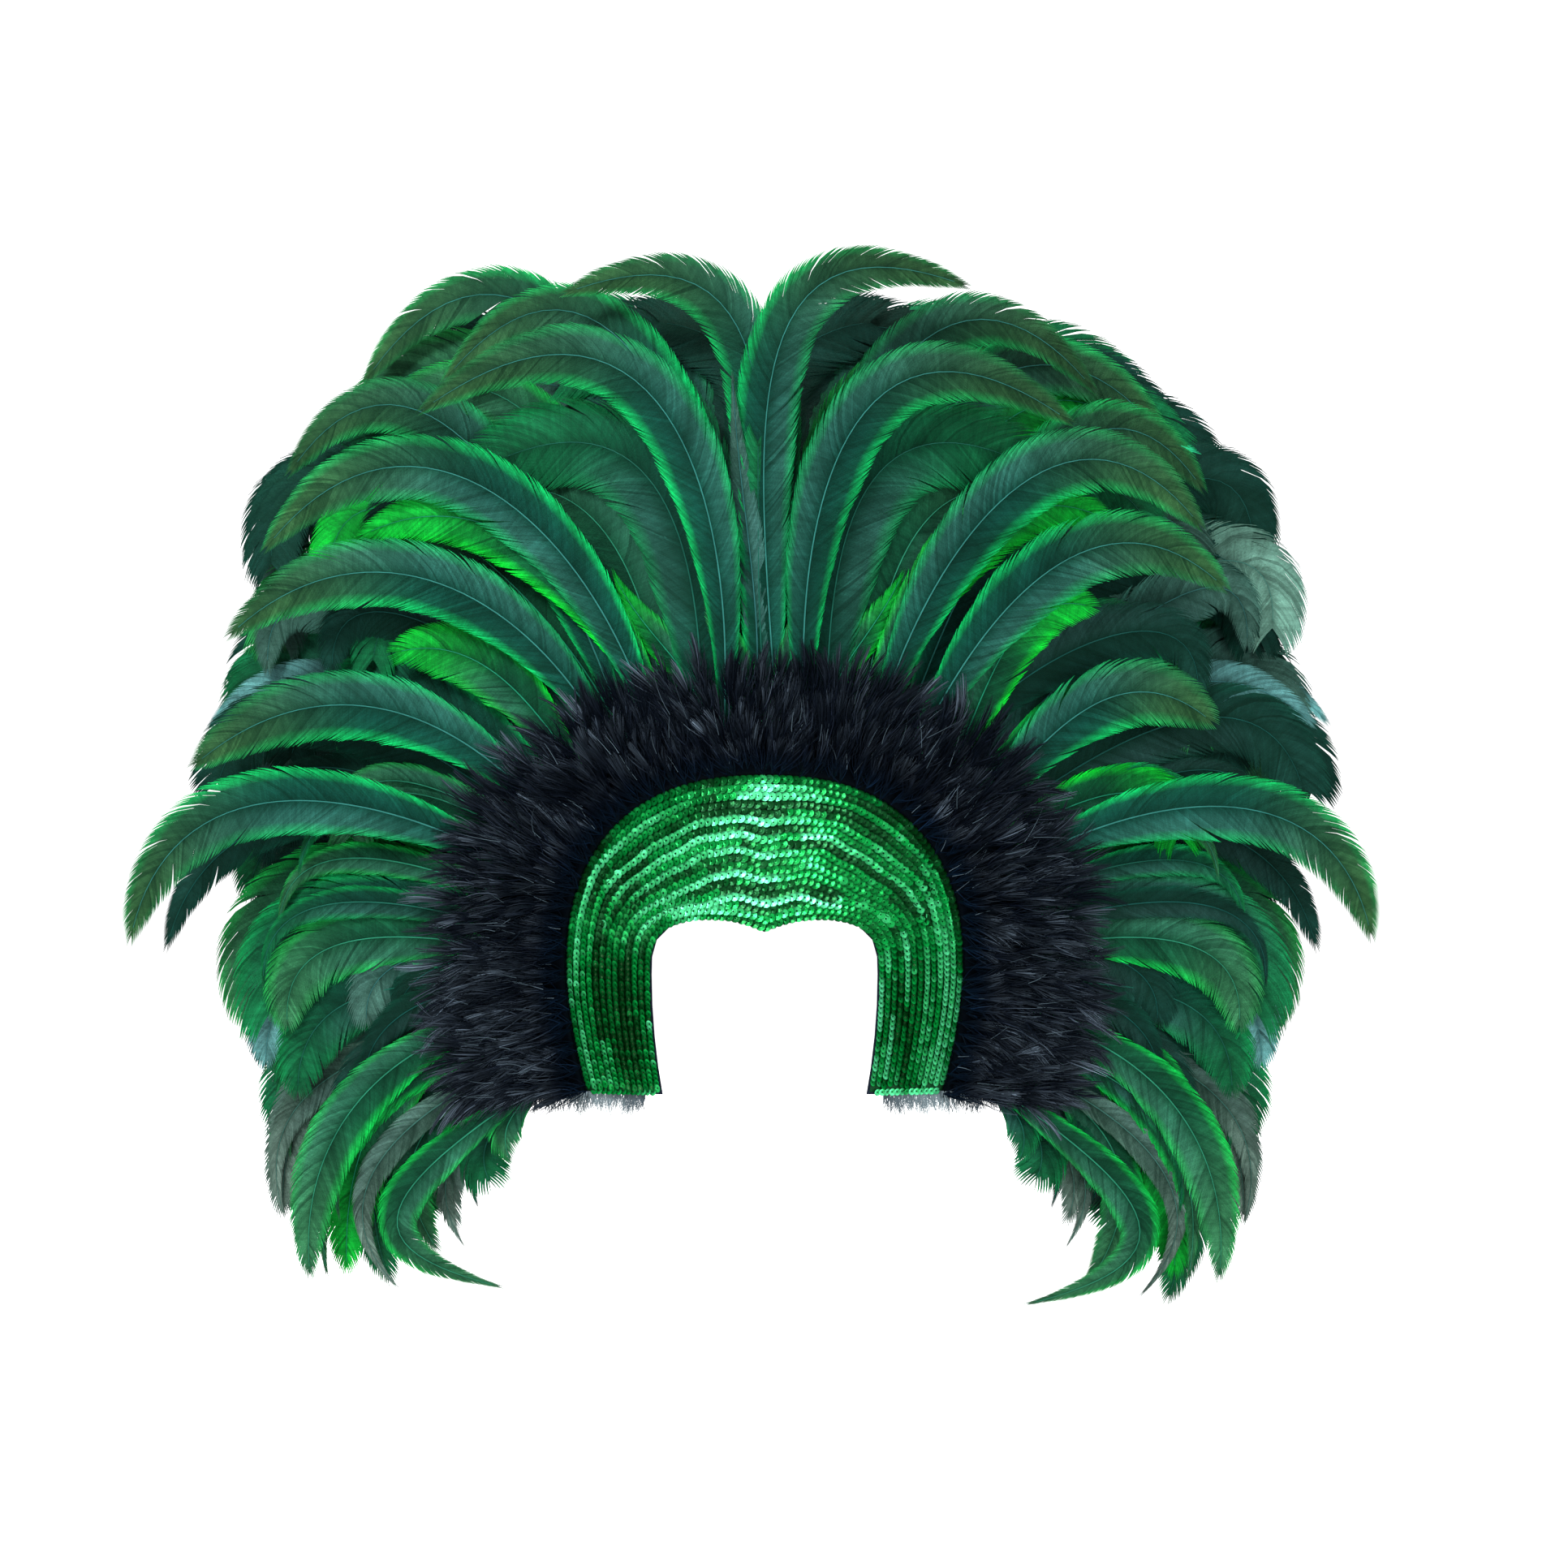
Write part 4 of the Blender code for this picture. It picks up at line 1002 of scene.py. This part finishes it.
    def sew(self, bundle, rng, sizes, colours, row, station, line):
        """One string of cupped discs with a hole, in runs of painted light and dark.

        Each disc is four rings of points round its centre, its rim a little proud of its middle.
        """
        steps = step_lengths(line)
        arc = running_sum(steps)
        legs = smooth_step(66.0, 96.0, np.abs(station))
        pitch = sizes.sequin_pitch + (sizes.leg_pitch - sizes.sequin_pitch) * legs
        phase = running_sum(steps / ((pitch[1:] + pitch[:-1]) / 2))
        count = int(phase[-1])
        stops = np.interp(np.arange(count) + rng.uniform(0.1, 0.9), phase, arc)
        x, z = (np.interp(stops, arc, part) for part in line)
        leg = np.interp(stops, arc, legs)
        level = self.HEIGHT + self.ODD_RISE * (row % 2 > 0.9) - self.END_DROP * (row == self.END_ROW)
        height = level + rng.normal(0.0, self.HEIGHT_SPREAD, count)
        middle = on_felt(x, z, height)
        first, second, face = self.disc_axes(rng, x, z, height, middle, leg)
        turns = np.linspace(0.0, 2 * np.pi, self.RING_POINTS, endpoint=False)
        turns = turns[None, :] + rng.uniform(0.0, 0.6, count)[:, None]
        spread = first[:, None] * np.cos(turns)[..., None]
        spread = spread + second[:, None] * (np.sin(turns) * (1.0 - 0.22 * leg[:, None]))[..., None]
        radius = sizes.sequin / 2
        rings = [middle[:, None] + spread * radius * share + face[:, None] * rise for share, rise in self.RINGS]
        bundle.add(np.stack(rings, axis=1), self.tint(rng, colours, x, z, leg, row, turns), closed=True)

    def tint(self, rng, colours, x, z, leg, row, turns):
        """Colours of the rings: green mixed toward mint or deep green by the tone, with painted light from one
        side.

        The rim has a painted shadow line, painted shade in a groove darkens two sides, the holes carry painted
        shade, and dark thread fills the holes of some leg sequins.
        """
        tone = self.tones(rng, x, z, leg, row)
        mint, green, deep = (np.array(part) for part in (colours.mint, colours.green, colours.deep))
        other = np.where(tone[:, None] > 0.0, mint, deep)
        tint = green + (other - green) * np.abs(tone)[:, None]
        # Painted light: each disc is lighter on its open side and on the legs, with painted shade in the groove at
        # two sides; the inner ring gets a softer painted light from the same side
        painted_light_side = np.cos(turns)
        painted_groove_shade = (0.20 + 0.35 * leg)[:, None] * np.abs(np.sin(turns)) ** 3
        lit = (0.98 + 0.24 * painted_light_side) * (1.0 - painted_groove_shade) * (1.0 + self.LEG_LIGHT * leg[:, None])
        flat = 0.94 + 0.08 * painted_light_side
        # Painted shadow line at every rim, and painted shade in the holes of discs painted as facing the light
        bright = (tone > 0.15)[:, None]
        hole = np.where(bright, *self.HOLES) + 0.0 * turns
        shade = np.stack([np.where(bright, *self.RIMS) * lit, lit, flat, hole], axis=1)[..., None]
        shaded = tint[:, None, None, :] * shade
        thread = (tone < -0.40) & (leg > 0.6) & (rng.uniform(0.0, 1.0, len(x)) < 0.7)
        shaded[thread, 3] = self.THREAD
        return shaded

    def tones(self, rng, x, z, leg, row):
        """Painted light and dark along a string: -1 deep, painted as turned from the light, 0 green, 1 mint,
        painted as catching it.

        Over the upper left, strings are mint and green in turn. Elsewhere a string keeps its own level,
        in runs that change at random; on the legs every other sequin is painted as turned away. A few soft patches
        of painted light and shade lie over all of it.
        """
        count = len(x)
        starts = np.flatnonzero(rng.uniform(0.0, 1.0, count) < 0.10)
        levels = rng.normal(0.0, 1.0, len(starts) + 1)
        run = levels[np.searchsorted(starts, np.arange(count), side="right")]
        upper_left = smooth_step(0.020, -0.020, x) * smooth_step(0.000, 0.030, z)
        crown = 1.0 - leg
        # Painted light: mint strings over the upper left, as catching the light, and patches of painted light and
        # shade
        turn = 1.0 if row in self.LIGHT_CATCHING_ROWS else -0.8
        brow = np.exp(-((x / 0.055) ** 2)) * crown
        tone = (0.34 + 0.16 * brow) * run + 0.22 * turn * crown + (0.55 * turn + 0.12) * upper_left
        for strength, across, up, wide, high in self.PAINTED_LIGHT_PATCHES:
            tone += strength * np.exp(-(((x - across) / wide) ** 2 + ((z - up) / high) ** 2))
        tone -= 0.28 * smooth_step(0.020, 0.060, x) * crown + 0.10
        tone += 0.18 * leg * np.where(np.arange(count) % 2 > 0, 1.0, -1.0) + leg * (0.22 + 0.12 * np.sign(x))
        tone += leg * (1.2 * (row == self.MAIN_ROWS - 1) * (run > 0.5) + 0.5 * (row == self.END_ROW))
        return np.clip(tone + rng.normal(0.0, 0.15, count), -1.0, 1.0)


class HEADDRESS_OT_fur(bpy.types.Operator):
    """Lay the fluffy collar round the panel"""

    bl_idname = "headdress.fur"
    bl_label = "Fur collar"

    SECTORS = (
        ("fur_collar_crown", -36.0, 36.0),
        ("fur_collar_shoulder_right", 36.0, 84.0),
        ("fur_collar_shoulder_left", -84.0, -36.0),
        ("fur_collar_leg_right", 84.0, 126.0),
        ("fur_collar_leg_left", -126.0, -84.0),
    )
    # Rings of tufts: share of the collar at which each starts, and the share that its tufts are long
    RINGS = (
        (-0.02, 0.40), (0.05, 0.46), (0.14, 0.50), (0.24, 0.50), (0.35, 0.48), (0.46, 0.47), (0.56, 0.47),
        (0.64, 0.46), (0.72, 0.44),
    )
    TUFT_STRANDS = 44
    BED_SHARE = 0.54
    # The skirt: the layer of plumes that it lies at, where it starts, and its least and further length
    SKIRT_LAYER, SKIRT_START, SKIRT_LENGTH, SKIRT_JAG = 6.6, 0.052, 0.024, 0.022
    # Hairs to each station, and the fringe under each leg
    STRAYS = 0.5
    STRAY_TINT = np.array([0.62, 0.90, 1.10])
    STRAY_WIDTH = 0.00028
    FRINGE_STRANDS = 1500
    FRINGE_GREY = np.array([0.20, 0.26, 0.28])
    FRINGE_WIDTH = 0.00034

    def execute(self, context):
        sizes, colours = context.scene.headdress_sizes, context.scene.headdress_colours
        material = fur_material("navy_down")
        rng = np.random.default_rng(73)
        for name, first, last in self.SECTORS:
            bundle = Bundle()
            self.add_bed(bundle, rng, first, last, sizes, colours)
            self.add_skirt(bundle, rng, first, last, colours)
            self.add_tufts(bundle, rng, first, last, sizes, colours)
            self.add_strays(bundle, rng, first, last, sizes)
            if "leg" in name:
                self.add_fringe(bundle, rng, np.sign(first), sizes, colours)
            bundle.piece(name + "_down", material, (name,))
        return {"FINISHED"}

    def reach(self, station, sizes):
        """Length of the collar: shorter over the crown."""
        return sizes.fur * (0.80 + 0.19 * smooth_step(0.0, 75.0, np.abs(station)))

    def bed_height(self, distance):
        """Height of the collar's body: up from the tape with a square root, then just over the front quills."""
        near = 0.004 + 0.0095 * np.sqrt(np.clip(distance / 0.020, 0.0, 1.0))
        return np.maximum(near, layer_height(0, distance) + 0.0042)

    def outward(self, station, distance):
        """Points at distances outside the panel, and the angles of the way out from there."""
        x, z = band_edge(station, False, distance)
        beyond = band_edge(station, False, distance + 0.004)
        return x, z, np.arctan2(beyond[0] - x, beyond[1] - z)

    def add_bed(self, bundle, rng, first, last, sizes, colours):
        """Dark body under the strands, with small lumps, from the panel to a little past the quills' roots."""
        station = np.linspace(first, last, int(last - first) + 1)
        share = np.linspace(0.0, self.BED_SHARE, 12)
        lumps = rng.normal(0.0, 0.0008, (len(station), 12)) * np.sin(np.pi * share / self.BED_SHARE)
        distance = 0.0008 + share * self.reach(station, sizes)[:, None]
        x, z = band_edge(station[:, None] * np.ones(12), False, distance)
        height = self.bed_height(distance)
        sunk = 0.0012 + 0.0030 * share / self.BED_SHARE
        low = on_felt(x, z, 0.5 * height - 0.0018)
        # Painted shade: the body is the fur's colour darkened to 0.4, as the shade under the strands
        bundle.add_slab(on_felt(x, z, height - sunk + lumps), low, np.array(colours.fur) * 0.4)

    def add_skirt(self, bundle, rng, first, last, colours):
        """Down behind the quills: a jagged band from the felt's edge, between the middle and back layers."""
        station = np.arange(first, last + 0.3, 0.6)
        jag = rng.uniform(0.0, 1.0, len(station)) * (np.arange(len(station)) % 2)
        distance = self.SKIRT_START + (self.SKIRT_LENGTH + self.SKIRT_JAG * jag)[:, None] * np.linspace(0.0, 1.0, 5)
        x, z = band_edge(station[:, None] * np.ones(5), False, distance)
        height = layer_height(self.SKIRT_LAYER, distance)
        # Painted shade: the band is the fur's colour darkened to 0.6, as the shade between the layers
        bundle.add_slab(on_felt(x, z, height), on_felt(x, z, height - 0.0006), np.array(colours.fur) * 0.6)

    def add_strands(self, bundle, root, angle, size, bend, height, width, tint):
        """Loose strands: each runs from its root at an angle that turns with its length, and tapers."""
        t = np.linspace(0.0, 1.0, 6)
        turn = angle[:, None] + bend[:, None] * t
        step = size[:, None] / 5
        x = root[0][:, None] + np.cumsum(step * np.sin(turn), axis=1) - step * np.sin(turn)
        z = root[1][:, None] + np.cumsum(step * np.cos(turn), axis=1) - step * np.cos(turn)
        centre = on_felt(x, z, height[:, None])
        half = width / 2 * (1.0 - 0.85 * t**2)
        across = np.stack([np.cos(turn) * half, 0.2 * half + 0.0 * turn, -np.sin(turn) * half], axis=-1)
        bundle.add(np.stack([centre - across, centre + across], axis=2), tint[:, None, None, :])

    def add_strays(self, bundle, rng, first, last, sizes):
        """Fine pale hairs that lie over the collar, mostly outward."""
        count = int((last - first) * self.STRAYS)
        station = rng.uniform(first, last, count)
        begin = rng.uniform(0.02, 0.75, count) * self.reach(station, sizes)
        x, z, angle = self.outward(station, begin)
        angle = angle + rng.normal(0.0, 0.28, count)
        size = rng.uniform(0.012, 0.030, count)
        height = self.bed_height(begin + 0.008) + rng.uniform(0.0050, 0.0085, count)
        tint = rng.uniform(0.02, 0.10, count)[:, None] * self.STRAY_TINT
        bend = rng.normal(0.0, 0.35, count)
        self.add_strands(bundle, (x, z), angle, size, bend, height, self.STRAY_WIDTH, tint)

    def add_fringe(self, bundle, rng, side, sizes, colours):
        """Short down under the end of a leg, greyest beside the felt."""
        count = self.FRINGE_STRANDS
        distance = rng.uniform(-0.036, 0.92 * self.reach(LAST_STATION, sizes), count)
        root = band_edge(np.full(count, side * (LAST_STATION + 0.2)), False, distance)
        angle = side * (np.pi - rng.uniform(-0.25, 0.75, count) * np.clip(distance / 0.05, 0.25, 1.0))
        size = rng.uniform(0.005, 0.019, count) * (0.88 + 0.12 * np.sin(distance * 420.0))
        height = np.where(distance > 0.0, self.bed_height(np.abs(distance)) * rng.uniform(0.1, 1.0, count), 0.001)
        grey = np.exp(-((distance + 0.008) / 0.022) ** 2) * rng.uniform(0.1, 1.0, count)
        # Painted sheen on some strands of the fringe
        body = np.array(colours.fur) + (np.array(colours.fur_tip_sheen) * rng.uniform(0.0, 1.0, (count, 1)))
        tint = body + (self.FRINGE_GREY - body) * grey[:, None]
        bend = rng.normal(0.0, 0.5, count)
        self.add_strands(bundle, root, angle, size, bend, height, self.FRINGE_WIDTH, tint)

    def tuft_places(self, rng, first, last):
        """Stations, starts and lengths of the tufts as shares of the collar, and their rings."""
        found = []
        for ring, (start, share) in enumerate(self.RINGS):
            gap = 3.0 - 0.12 * ring if ring < 8 else 5.0
            count = max(int((last - first) / gap), 4)
            place = first + (last - first) * (np.arange(count) + 0.5 + 0.25 * (ring % 2)) / count
            place = np.clip(place + rng.normal(0.0, 0.7, count), -LAST_STATION - 1.0, LAST_STATION + 1.0)
            starts = start + rng.normal(0.0, 0.018, count)
            found.append((place, starts, share * rng.uniform(0.78, 1.30, count), np.full(count, ring)))
        station, start, span, ring = (np.concatenate(parts) for parts in zip(*found))
        return station, np.clip(start, -0.02, None), span, ring

    def add_tufts(self, bundle, rng, first, last, sizes, colours):
        """Tufts of strands.

        A tuft has a stem of its own heading and length. Its strands leave the stem over its first half,
        spread to the side by the sine of a quarter turn, and end nearer the stem the further they reach,
        so that the tuft is pointed. The headings swing with two waves along the collar.
        """
        station, start, span, ring = self.tuft_places(rng, first, last)
        aside, side = np.abs(station), np.sign(station)
        reach = self.reach(station, sizes)
        x0, z0, angle = self.outward(station, 0.0010 + start * reach)
        angle = angle + rng.normal(0.0, 0.11, len(station))
        angle += 0.17 * np.sin(0.19 * station + 4.0 * start) + 0.08 * np.sin(0.53 * station - 6.0 * start)
        angle += side * np.radians(9.0) * np.exp(-aside / 14.0)
        angle += side * np.radians(7.0) * smooth_step(40.0, 90.0, aside)
        bend = rng.normal(0.0, 0.20, len(station)) + 0.30 * np.sin(0.23 * station + 2.0)
        bend = bend + side * 0.22 * smooth_step(30.0, 80.0, aside)
        start, span, ring, reach, x0, z0, angle, bend = (
            part[:, None, None] for part in (start, span, ring, reach, x0, z0, angle, bend)
        )

        each = (len(station), self.TUFT_STRANDS)
        leaves = rng.uniform(0.0, 0.60, each)
        ends = np.clip(leaves + rng.uniform(0.40, 0.66, each), 0.0, 1.06)
        spread = rng.normal(0.0, 1.0, each) * 0.19 * np.clip(1.12 - ends, 0.05, 1.0)
        t = np.linspace(0.0, 1.0, 5)
        run = leaves[..., None] + (ends - leaves)[..., None] * t
        off = spread[..., None] * np.sin(np.pi / 2 * t**0.85) * 1.4
        size = span * reach
        turn = angle + bend * run**1.5 * 0.5
        x = x0 + size * (run * np.sin(turn) + off * np.cos(turn))
        z = z0 + size * (run * np.cos(turn) - off * np.sin(turn))
        share = start + span * run
        bulge = np.sin(np.pi * np.clip(run, 0.0, 1.0))
        loft = rng.uniform(0.0, 0.0050, each)[..., None] * bulge**0.8
        raised = 0.0006 * (8 - ring) * bulge
        height = self.bed_height(share * reach) - 0.0012 * np.clip(share, 0.0, 1.0) + loft + raised + 0.0004
        along = np.gradient(np.stack([x, z], axis=-1), axis=2)
        along /= np.linalg.norm(along, axis=-1, keepdims=True) + 1e-12
        width = sizes.strand / 2 * (1.0 - 0.82 * t**1.5) * rng.uniform(0.7, 1.3, each)[..., None]
        twist = rng.normal(0.0, 0.25, each)[..., None]
        across = np.stack([along[..., 1] * width, twist * width, -along[..., 0] * width], axis=-1)
        centre = on_felt(x, z, height)
        grid = np.stack([centre - across, centre + across], axis=3)
        tint = self.strand_tint(rng, colours, station, start, run, share)
        tint = np.broadcast_to(tint[:, :, :, None, :], grid.shape)
        bundle.add(grid.reshape(-1, 5, 2, 3), tint.reshape(-1, 5, 2, 3))

    def strand_tint(self, rng, colours, station, start, run, share):
        """Colours of the tufts: the body, toward the tip colour along the run, and the root's beside the panel. The
        tip colour is painted sheen.

        Tufts differ in how much painted sheen they carry and strands in brightness; the sides and legs get painted
        light, and patches of the collar carry more painted sheen.
        """
        body, tip, root = (np.array(part) for part in (colours.fur, colours.fur_tip_sheen, colours.fur_root))
        aside = np.abs(station)
        # Painted light and sheen: more toward the sides and legs, and in patches of the collar
        lit = 0.55 + 0.45 * smooth_step(25.0, 80.0, aside) + 0.3 * smooth_step(85.0, 120.0, aside)
        patches = np.sin(0.31 * station + 5.0 * start[:, 0, 0]) * np.sin(0.12 * station + 1.0)
        shine = rng.lognormal(-0.95, 0.80, len(station)) * (lit * (1.0 + 0.45 * patches))
        shine = np.clip(shine, 0.0, 1.8)[:, None, None, None]
        fine = np.clip(rng.lognormal(-0.15, 0.55, run.shape[:2]), 0.2, 4.0)[..., None, None]
        tint = body + (tip - body) * smooth_step(0.25, 1.0, run)[..., None] * shine
        return (tint + (root - tint) * (1.0 - smooth_step(0.04, 0.26, share))[..., None]) * fine


class HEADDRESS_OT_front_plumes(bpy.types.Operator):
    """Set the large front plumes, one piece each"""

    bl_idname = "headdress.front_plumes"
    bl_label = "Front plumes"

    def execute(self, context):
        sizes = context.scene.headdress_sizes
        material = plume_material("dyed_front_plume")
        for number, row in enumerate(FRONT_PLUMES):
            breadth = SLIM_BREADTH if row[0] == "jaw" else SABRE_BREADTH
            for side, word in SIDES:
                node, seed = f"plume_{row[0]}_{word}", 100 + 2 * number + (side > 0)
                plumes = [(*plume_quill(row, side), breadth, False)]
                set_plumes(node + "_vane", material, node, seed, plumes, sizes)
        return {"FINISHED"}


class HEADDRESS_OT_middle_plumes(bpy.types.Operator):
    """Set the plumes of the middle tape"""

    bl_idname = "headdress.middle_plumes"
    bl_label = "Middle plumes"

    BROAD = (
        "broad_dark", "broad_green", "hanging_edge", "broad_wing", "pale_edge", "slate_side", "centre_leaf",
        "pale_broad", "olive_edge", "under_crest", "under_brow",
    )
    # Two sets of plumes that fill the gaps: stations, layers, reaches, width share, dyes
    FILLS = (
        (np.arange(7.0, 123.0, 6.1), (5, 3, 6, 4), (0.90, 0.78, 0.96, 0.84), 0.84,
         ("bottle", "dark", "leaf", "dark", "bright", "bottle", "slate")),
        (np.arange(61.0, 123.5, 3.3), (3, 4, 2, 5), (0.80, 0.97, 0.88, 0.72, 0.93), 0.52,
         ("leaf", "dark", "bottle", "dark", "leaf", "dark", "bottle")),
    )

    def execute(self, context):
        sizes = context.scene.headdress_sizes
        material = plume_material("dyed_middle_plume")
        for side, word in SIDES:
            rows = MIDDLE_PLUMES + SMALL_PLUMES + (CENTRE_PLUMES + RIGHT_PLUMES if side > 0 else ())
            plumes = [(sector_of(row[1]), *plume_quill(row, side), self.breadth(row), False) for row in rows]
            for fill in self.FILLS:
                plumes += fan_rows(side, *fill, loose=True)
            set_sectors("middle", side, word, 200, plumes, material, sizes)
        return {"FINISHED"}

    def breadth(self, row):
        """The outline of a row's plume: slim for a narrow small feather, broad for those named so."""
        if row in SMALL_PLUMES and row[4] < 0.75:
            return SLIM_BREADTH
        return BROAD_BREADTH if row[0] in self.BROAD else SABRE_BREADTH


class HEADDRESS_OT_back_plumes(bpy.types.Operator):
    """Set the darker plumes of the back tape"""

    bl_idname = "headdress.back_plumes"
    bl_label = "Back plumes"

    def execute(self, context):
        sizes = context.scene.headdress_sizes
        material = plume_material("dyed_back_plume")
        stations, layers, reaches = np.arange(1.6, 124.0, 3.5), (7, 9, 8), (1.0, 0.95, 0.98, 0.91, 1.0)
        dyes = ("dark", "bottle", "dark", "slate", "dark", "leaf", "bottle")
        for side, word in SIDES:
            plumes = fan_rows(side, stations, layers, reaches, 1.12, dyes, loose=False)
            set_sectors("back", side, word, 300, plumes, material, sizes)
        return {"FINISHED"}


def direction_angles(direction):
    """Euler angles that turn -Z to a direction: tilt from straight down, and heading round Z."""
    x, y, z = direction / np.linalg.norm(direction)
    return (float(np.arccos(-z)), 0.0, float(np.arctan2(y, x) - np.pi / 2))


class HEADDRESS_OT_stage(bpy.types.Operator):
    """Set the studio: a pale floor and wall, soft lights and the camera"""

    bl_idname = "headdress.stage"
    bl_label = "Stage"

    # (name, place, width, watts), and the point that they all face
    LIGHTS = (
        ("key", (-1.3, -2.0, 1.9), 0.9, 106.0),
        ("fill", (1.7, -1.9, 0.7), 1.4, 28.0),
        ("top", (0.2, -0.2, 2.3), 1.2, 30.0),
        ("back", (-0.8, 1.9, 1.3), 1.4, 44.0),
    )
    LIT_POINT = np.array([0.0, 0.03, 0.09])
    SKY_STRENGTH = 0.29
    PAPER_GLOW = 0.7
    FLOOR_GAP = 0.015
    FLOOR_HALF = 3.6
    # The wall: where it starts on the floor, where it starts to rise, its corner's radius and its height
    WALL_START, WALL_RISES, WALL_CORNER, WALL_HEIGHT = 3.5, 4.6, 0.9, 6.0

    def execute(self, context):
        scene = context.scene
        self.add_sweep(scene.headdress_colours)
        world = bpy.data.worlds.new("studio")
        world.use_nodes = True
        sky = world.node_tree.nodes["Background"].inputs
        sky["Color"].default_value = (1.0, 1.0, 1.0, 1.0)
        sky["Strength"].default_value = self.SKY_STRENGTH
        scene.world = world
        for name, place, size, power in self.LIGHTS:
            light = bpy.data.lights.new(name, "AREA")
            light.size, light.energy = size, power
            obj = add_object(name, light)
            obj.location = place
            obj.rotation_euler = direction_angles(self.LIT_POINT - np.array(place))
        camera = bpy.data.cameras.new("front_camera")
        camera.sensor_width = SENSOR_MM
        camera.lens = SENSOR_MM * CAMERA_DISTANCE / (FRAME_PIXELS * PIXEL)
        camera.clip_end = 20.0
        view = add_object("front_camera", camera)
        middle = FRAME_PIXELS / 2
        view.location = ((middle - ORIGIN_PIXEL[0]) * PIXEL, -CAMERA_DISTANCE, (ORIGIN_PIXEL[1] - middle) * PIXEL)
        view.rotation_euler = (np.pi / 2, 0.0, 0.0)
        scene.camera = view
        scene.view_settings.view_transform = "Standard"
        return {"FINISHED"}

    def add_paper(self, name, points, quads, paper):
        """One sheet of the studio's paper from its points and quads."""
        mesh = bpy.data.meshes.new(name)
        mesh.from_pydata(points.tolist(), [], quads.tolist())
        mesh.polygons.foreach_set("use_smooth", np.full(len(quads), True))
        mesh.materials.append(paper)
        obj = add_object(name, mesh)
        return obj

    def add_sweep(self, colours):
        """A square floor, and a round wall that rises from it: a quarter circle, then upright.

        The wall is a profile turned about the vertical axis. It lets the light of the sky through.
        """
        paper = Shader("studio_paper", Roughness=0.9, Specular_IOR_Level=0.1).finish(
            Base_Color=(*colours.floor, 1.0), Emission_Color=(1.0, 1.0, 1.0, 1.0), Emission_Strength=self.PAPER_GLOW
        )
        level, half = CAD_BOX[0][2] - self.FLOOR_GAP, self.FLOOR_HALF
        square = np.array([(-half, -half, level), (half, -half, level), (half, half, level), (-half, half, level)])
        self.add_paper("studio_floor", square, np.arange(4)[None], paper)
        foot, corner = self.WALL_RISES, self.WALL_CORNER
        rise = np.linspace(0.0, np.pi / 2, 13)
        radius = np.concatenate([[self.WALL_START], foot + corner * np.sin(rise), [foot + corner]])[:, None]
        height = np.concatenate([[0.0], corner * (1.0 - np.cos(rise)), [self.WALL_HEIGHT]])[:, None] + level + 0.001
        turn = np.linspace(0.0, 2 * np.pi, 65)[:-1]
        points = np.stack(np.broadcast_arrays(radius * np.sin(turn), radius * np.cos(turn), height), axis=-1)
        index = np.arange(points.size // 3).reshape(len(radius), 64)
        ahead = np.roll(index, -1, axis=1)
        quads = np.stack([index[:-1], ahead[:-1], ahead[1:], index[1:]], axis=-1).reshape(-1, 4)
        wall = self.add_paper("studio_wall", points.reshape(-1, 3), quads, paper)
        wall.visible_diffuse = wall.visible_glossy = wall.visible_shadow = False


# The add-on

OPERATORS = (
    HEADDRESS_OT_felt,
    HEADDRESS_OT_sequins,
    HEADDRESS_OT_fur,
    HEADDRESS_OT_front_plumes,
    HEADDRESS_OT_middle_plumes,
    HEADDRESS_OT_back_plumes,
    HEADDRESS_OT_stage,
)


class HEADDRESS_PT_panel(bpy.types.Panel):
    """Lists the headpiece's settings and steps"""

    bl_idname = "HEADDRESS_PT_panel"
    bl_label = "Headdress"
    bl_space_type = "VIEW_3D"
    bl_region_type = "UI"
    bl_category = "Headdress"

    def draw(self, context):
        for group in (context.scene.headdress_sizes, context.scene.headdress_colours):
            box = self.layout.box()
            for name in group.__annotations__:
                box.prop(group, name)
        for operator in OPERATORS:
            self.layout.operator(operator.bl_idname)


CLASSES = (HeaddressSizes, HeaddressColours, *OPERATORS, HEADDRESS_PT_panel)


def register():
    """Registers the classes and hangs the settings on the scene."""
    for cls in CLASSES:
        bpy.utils.register_class(cls)
    bpy.types.Scene.headdress_sizes = bpy.props.PointerProperty(type=HeaddressSizes)
    bpy.types.Scene.headdress_colours = bpy.props.PointerProperty(type=HeaddressColours)


def unregister():
    """Takes the settings and the classes away again."""
    del bpy.types.Scene.headdress_colours
    del bpy.types.Scene.headdress_sizes
    for cls in reversed(CLASSES):
        bpy.utils.unregister_class(cls)


def main():
    """Runs the steps in order."""
    register()
    bpy.ops.headdress.felt()
    bpy.ops.headdress.sequins()
    bpy.ops.headdress.fur()
    bpy.ops.headdress.front_plumes()
    bpy.ops.headdress.middle_plumes()
    bpy.ops.headdress.back_plumes()
    bpy.ops.headdress.stage()


if __name__ == "__main__":
    main()
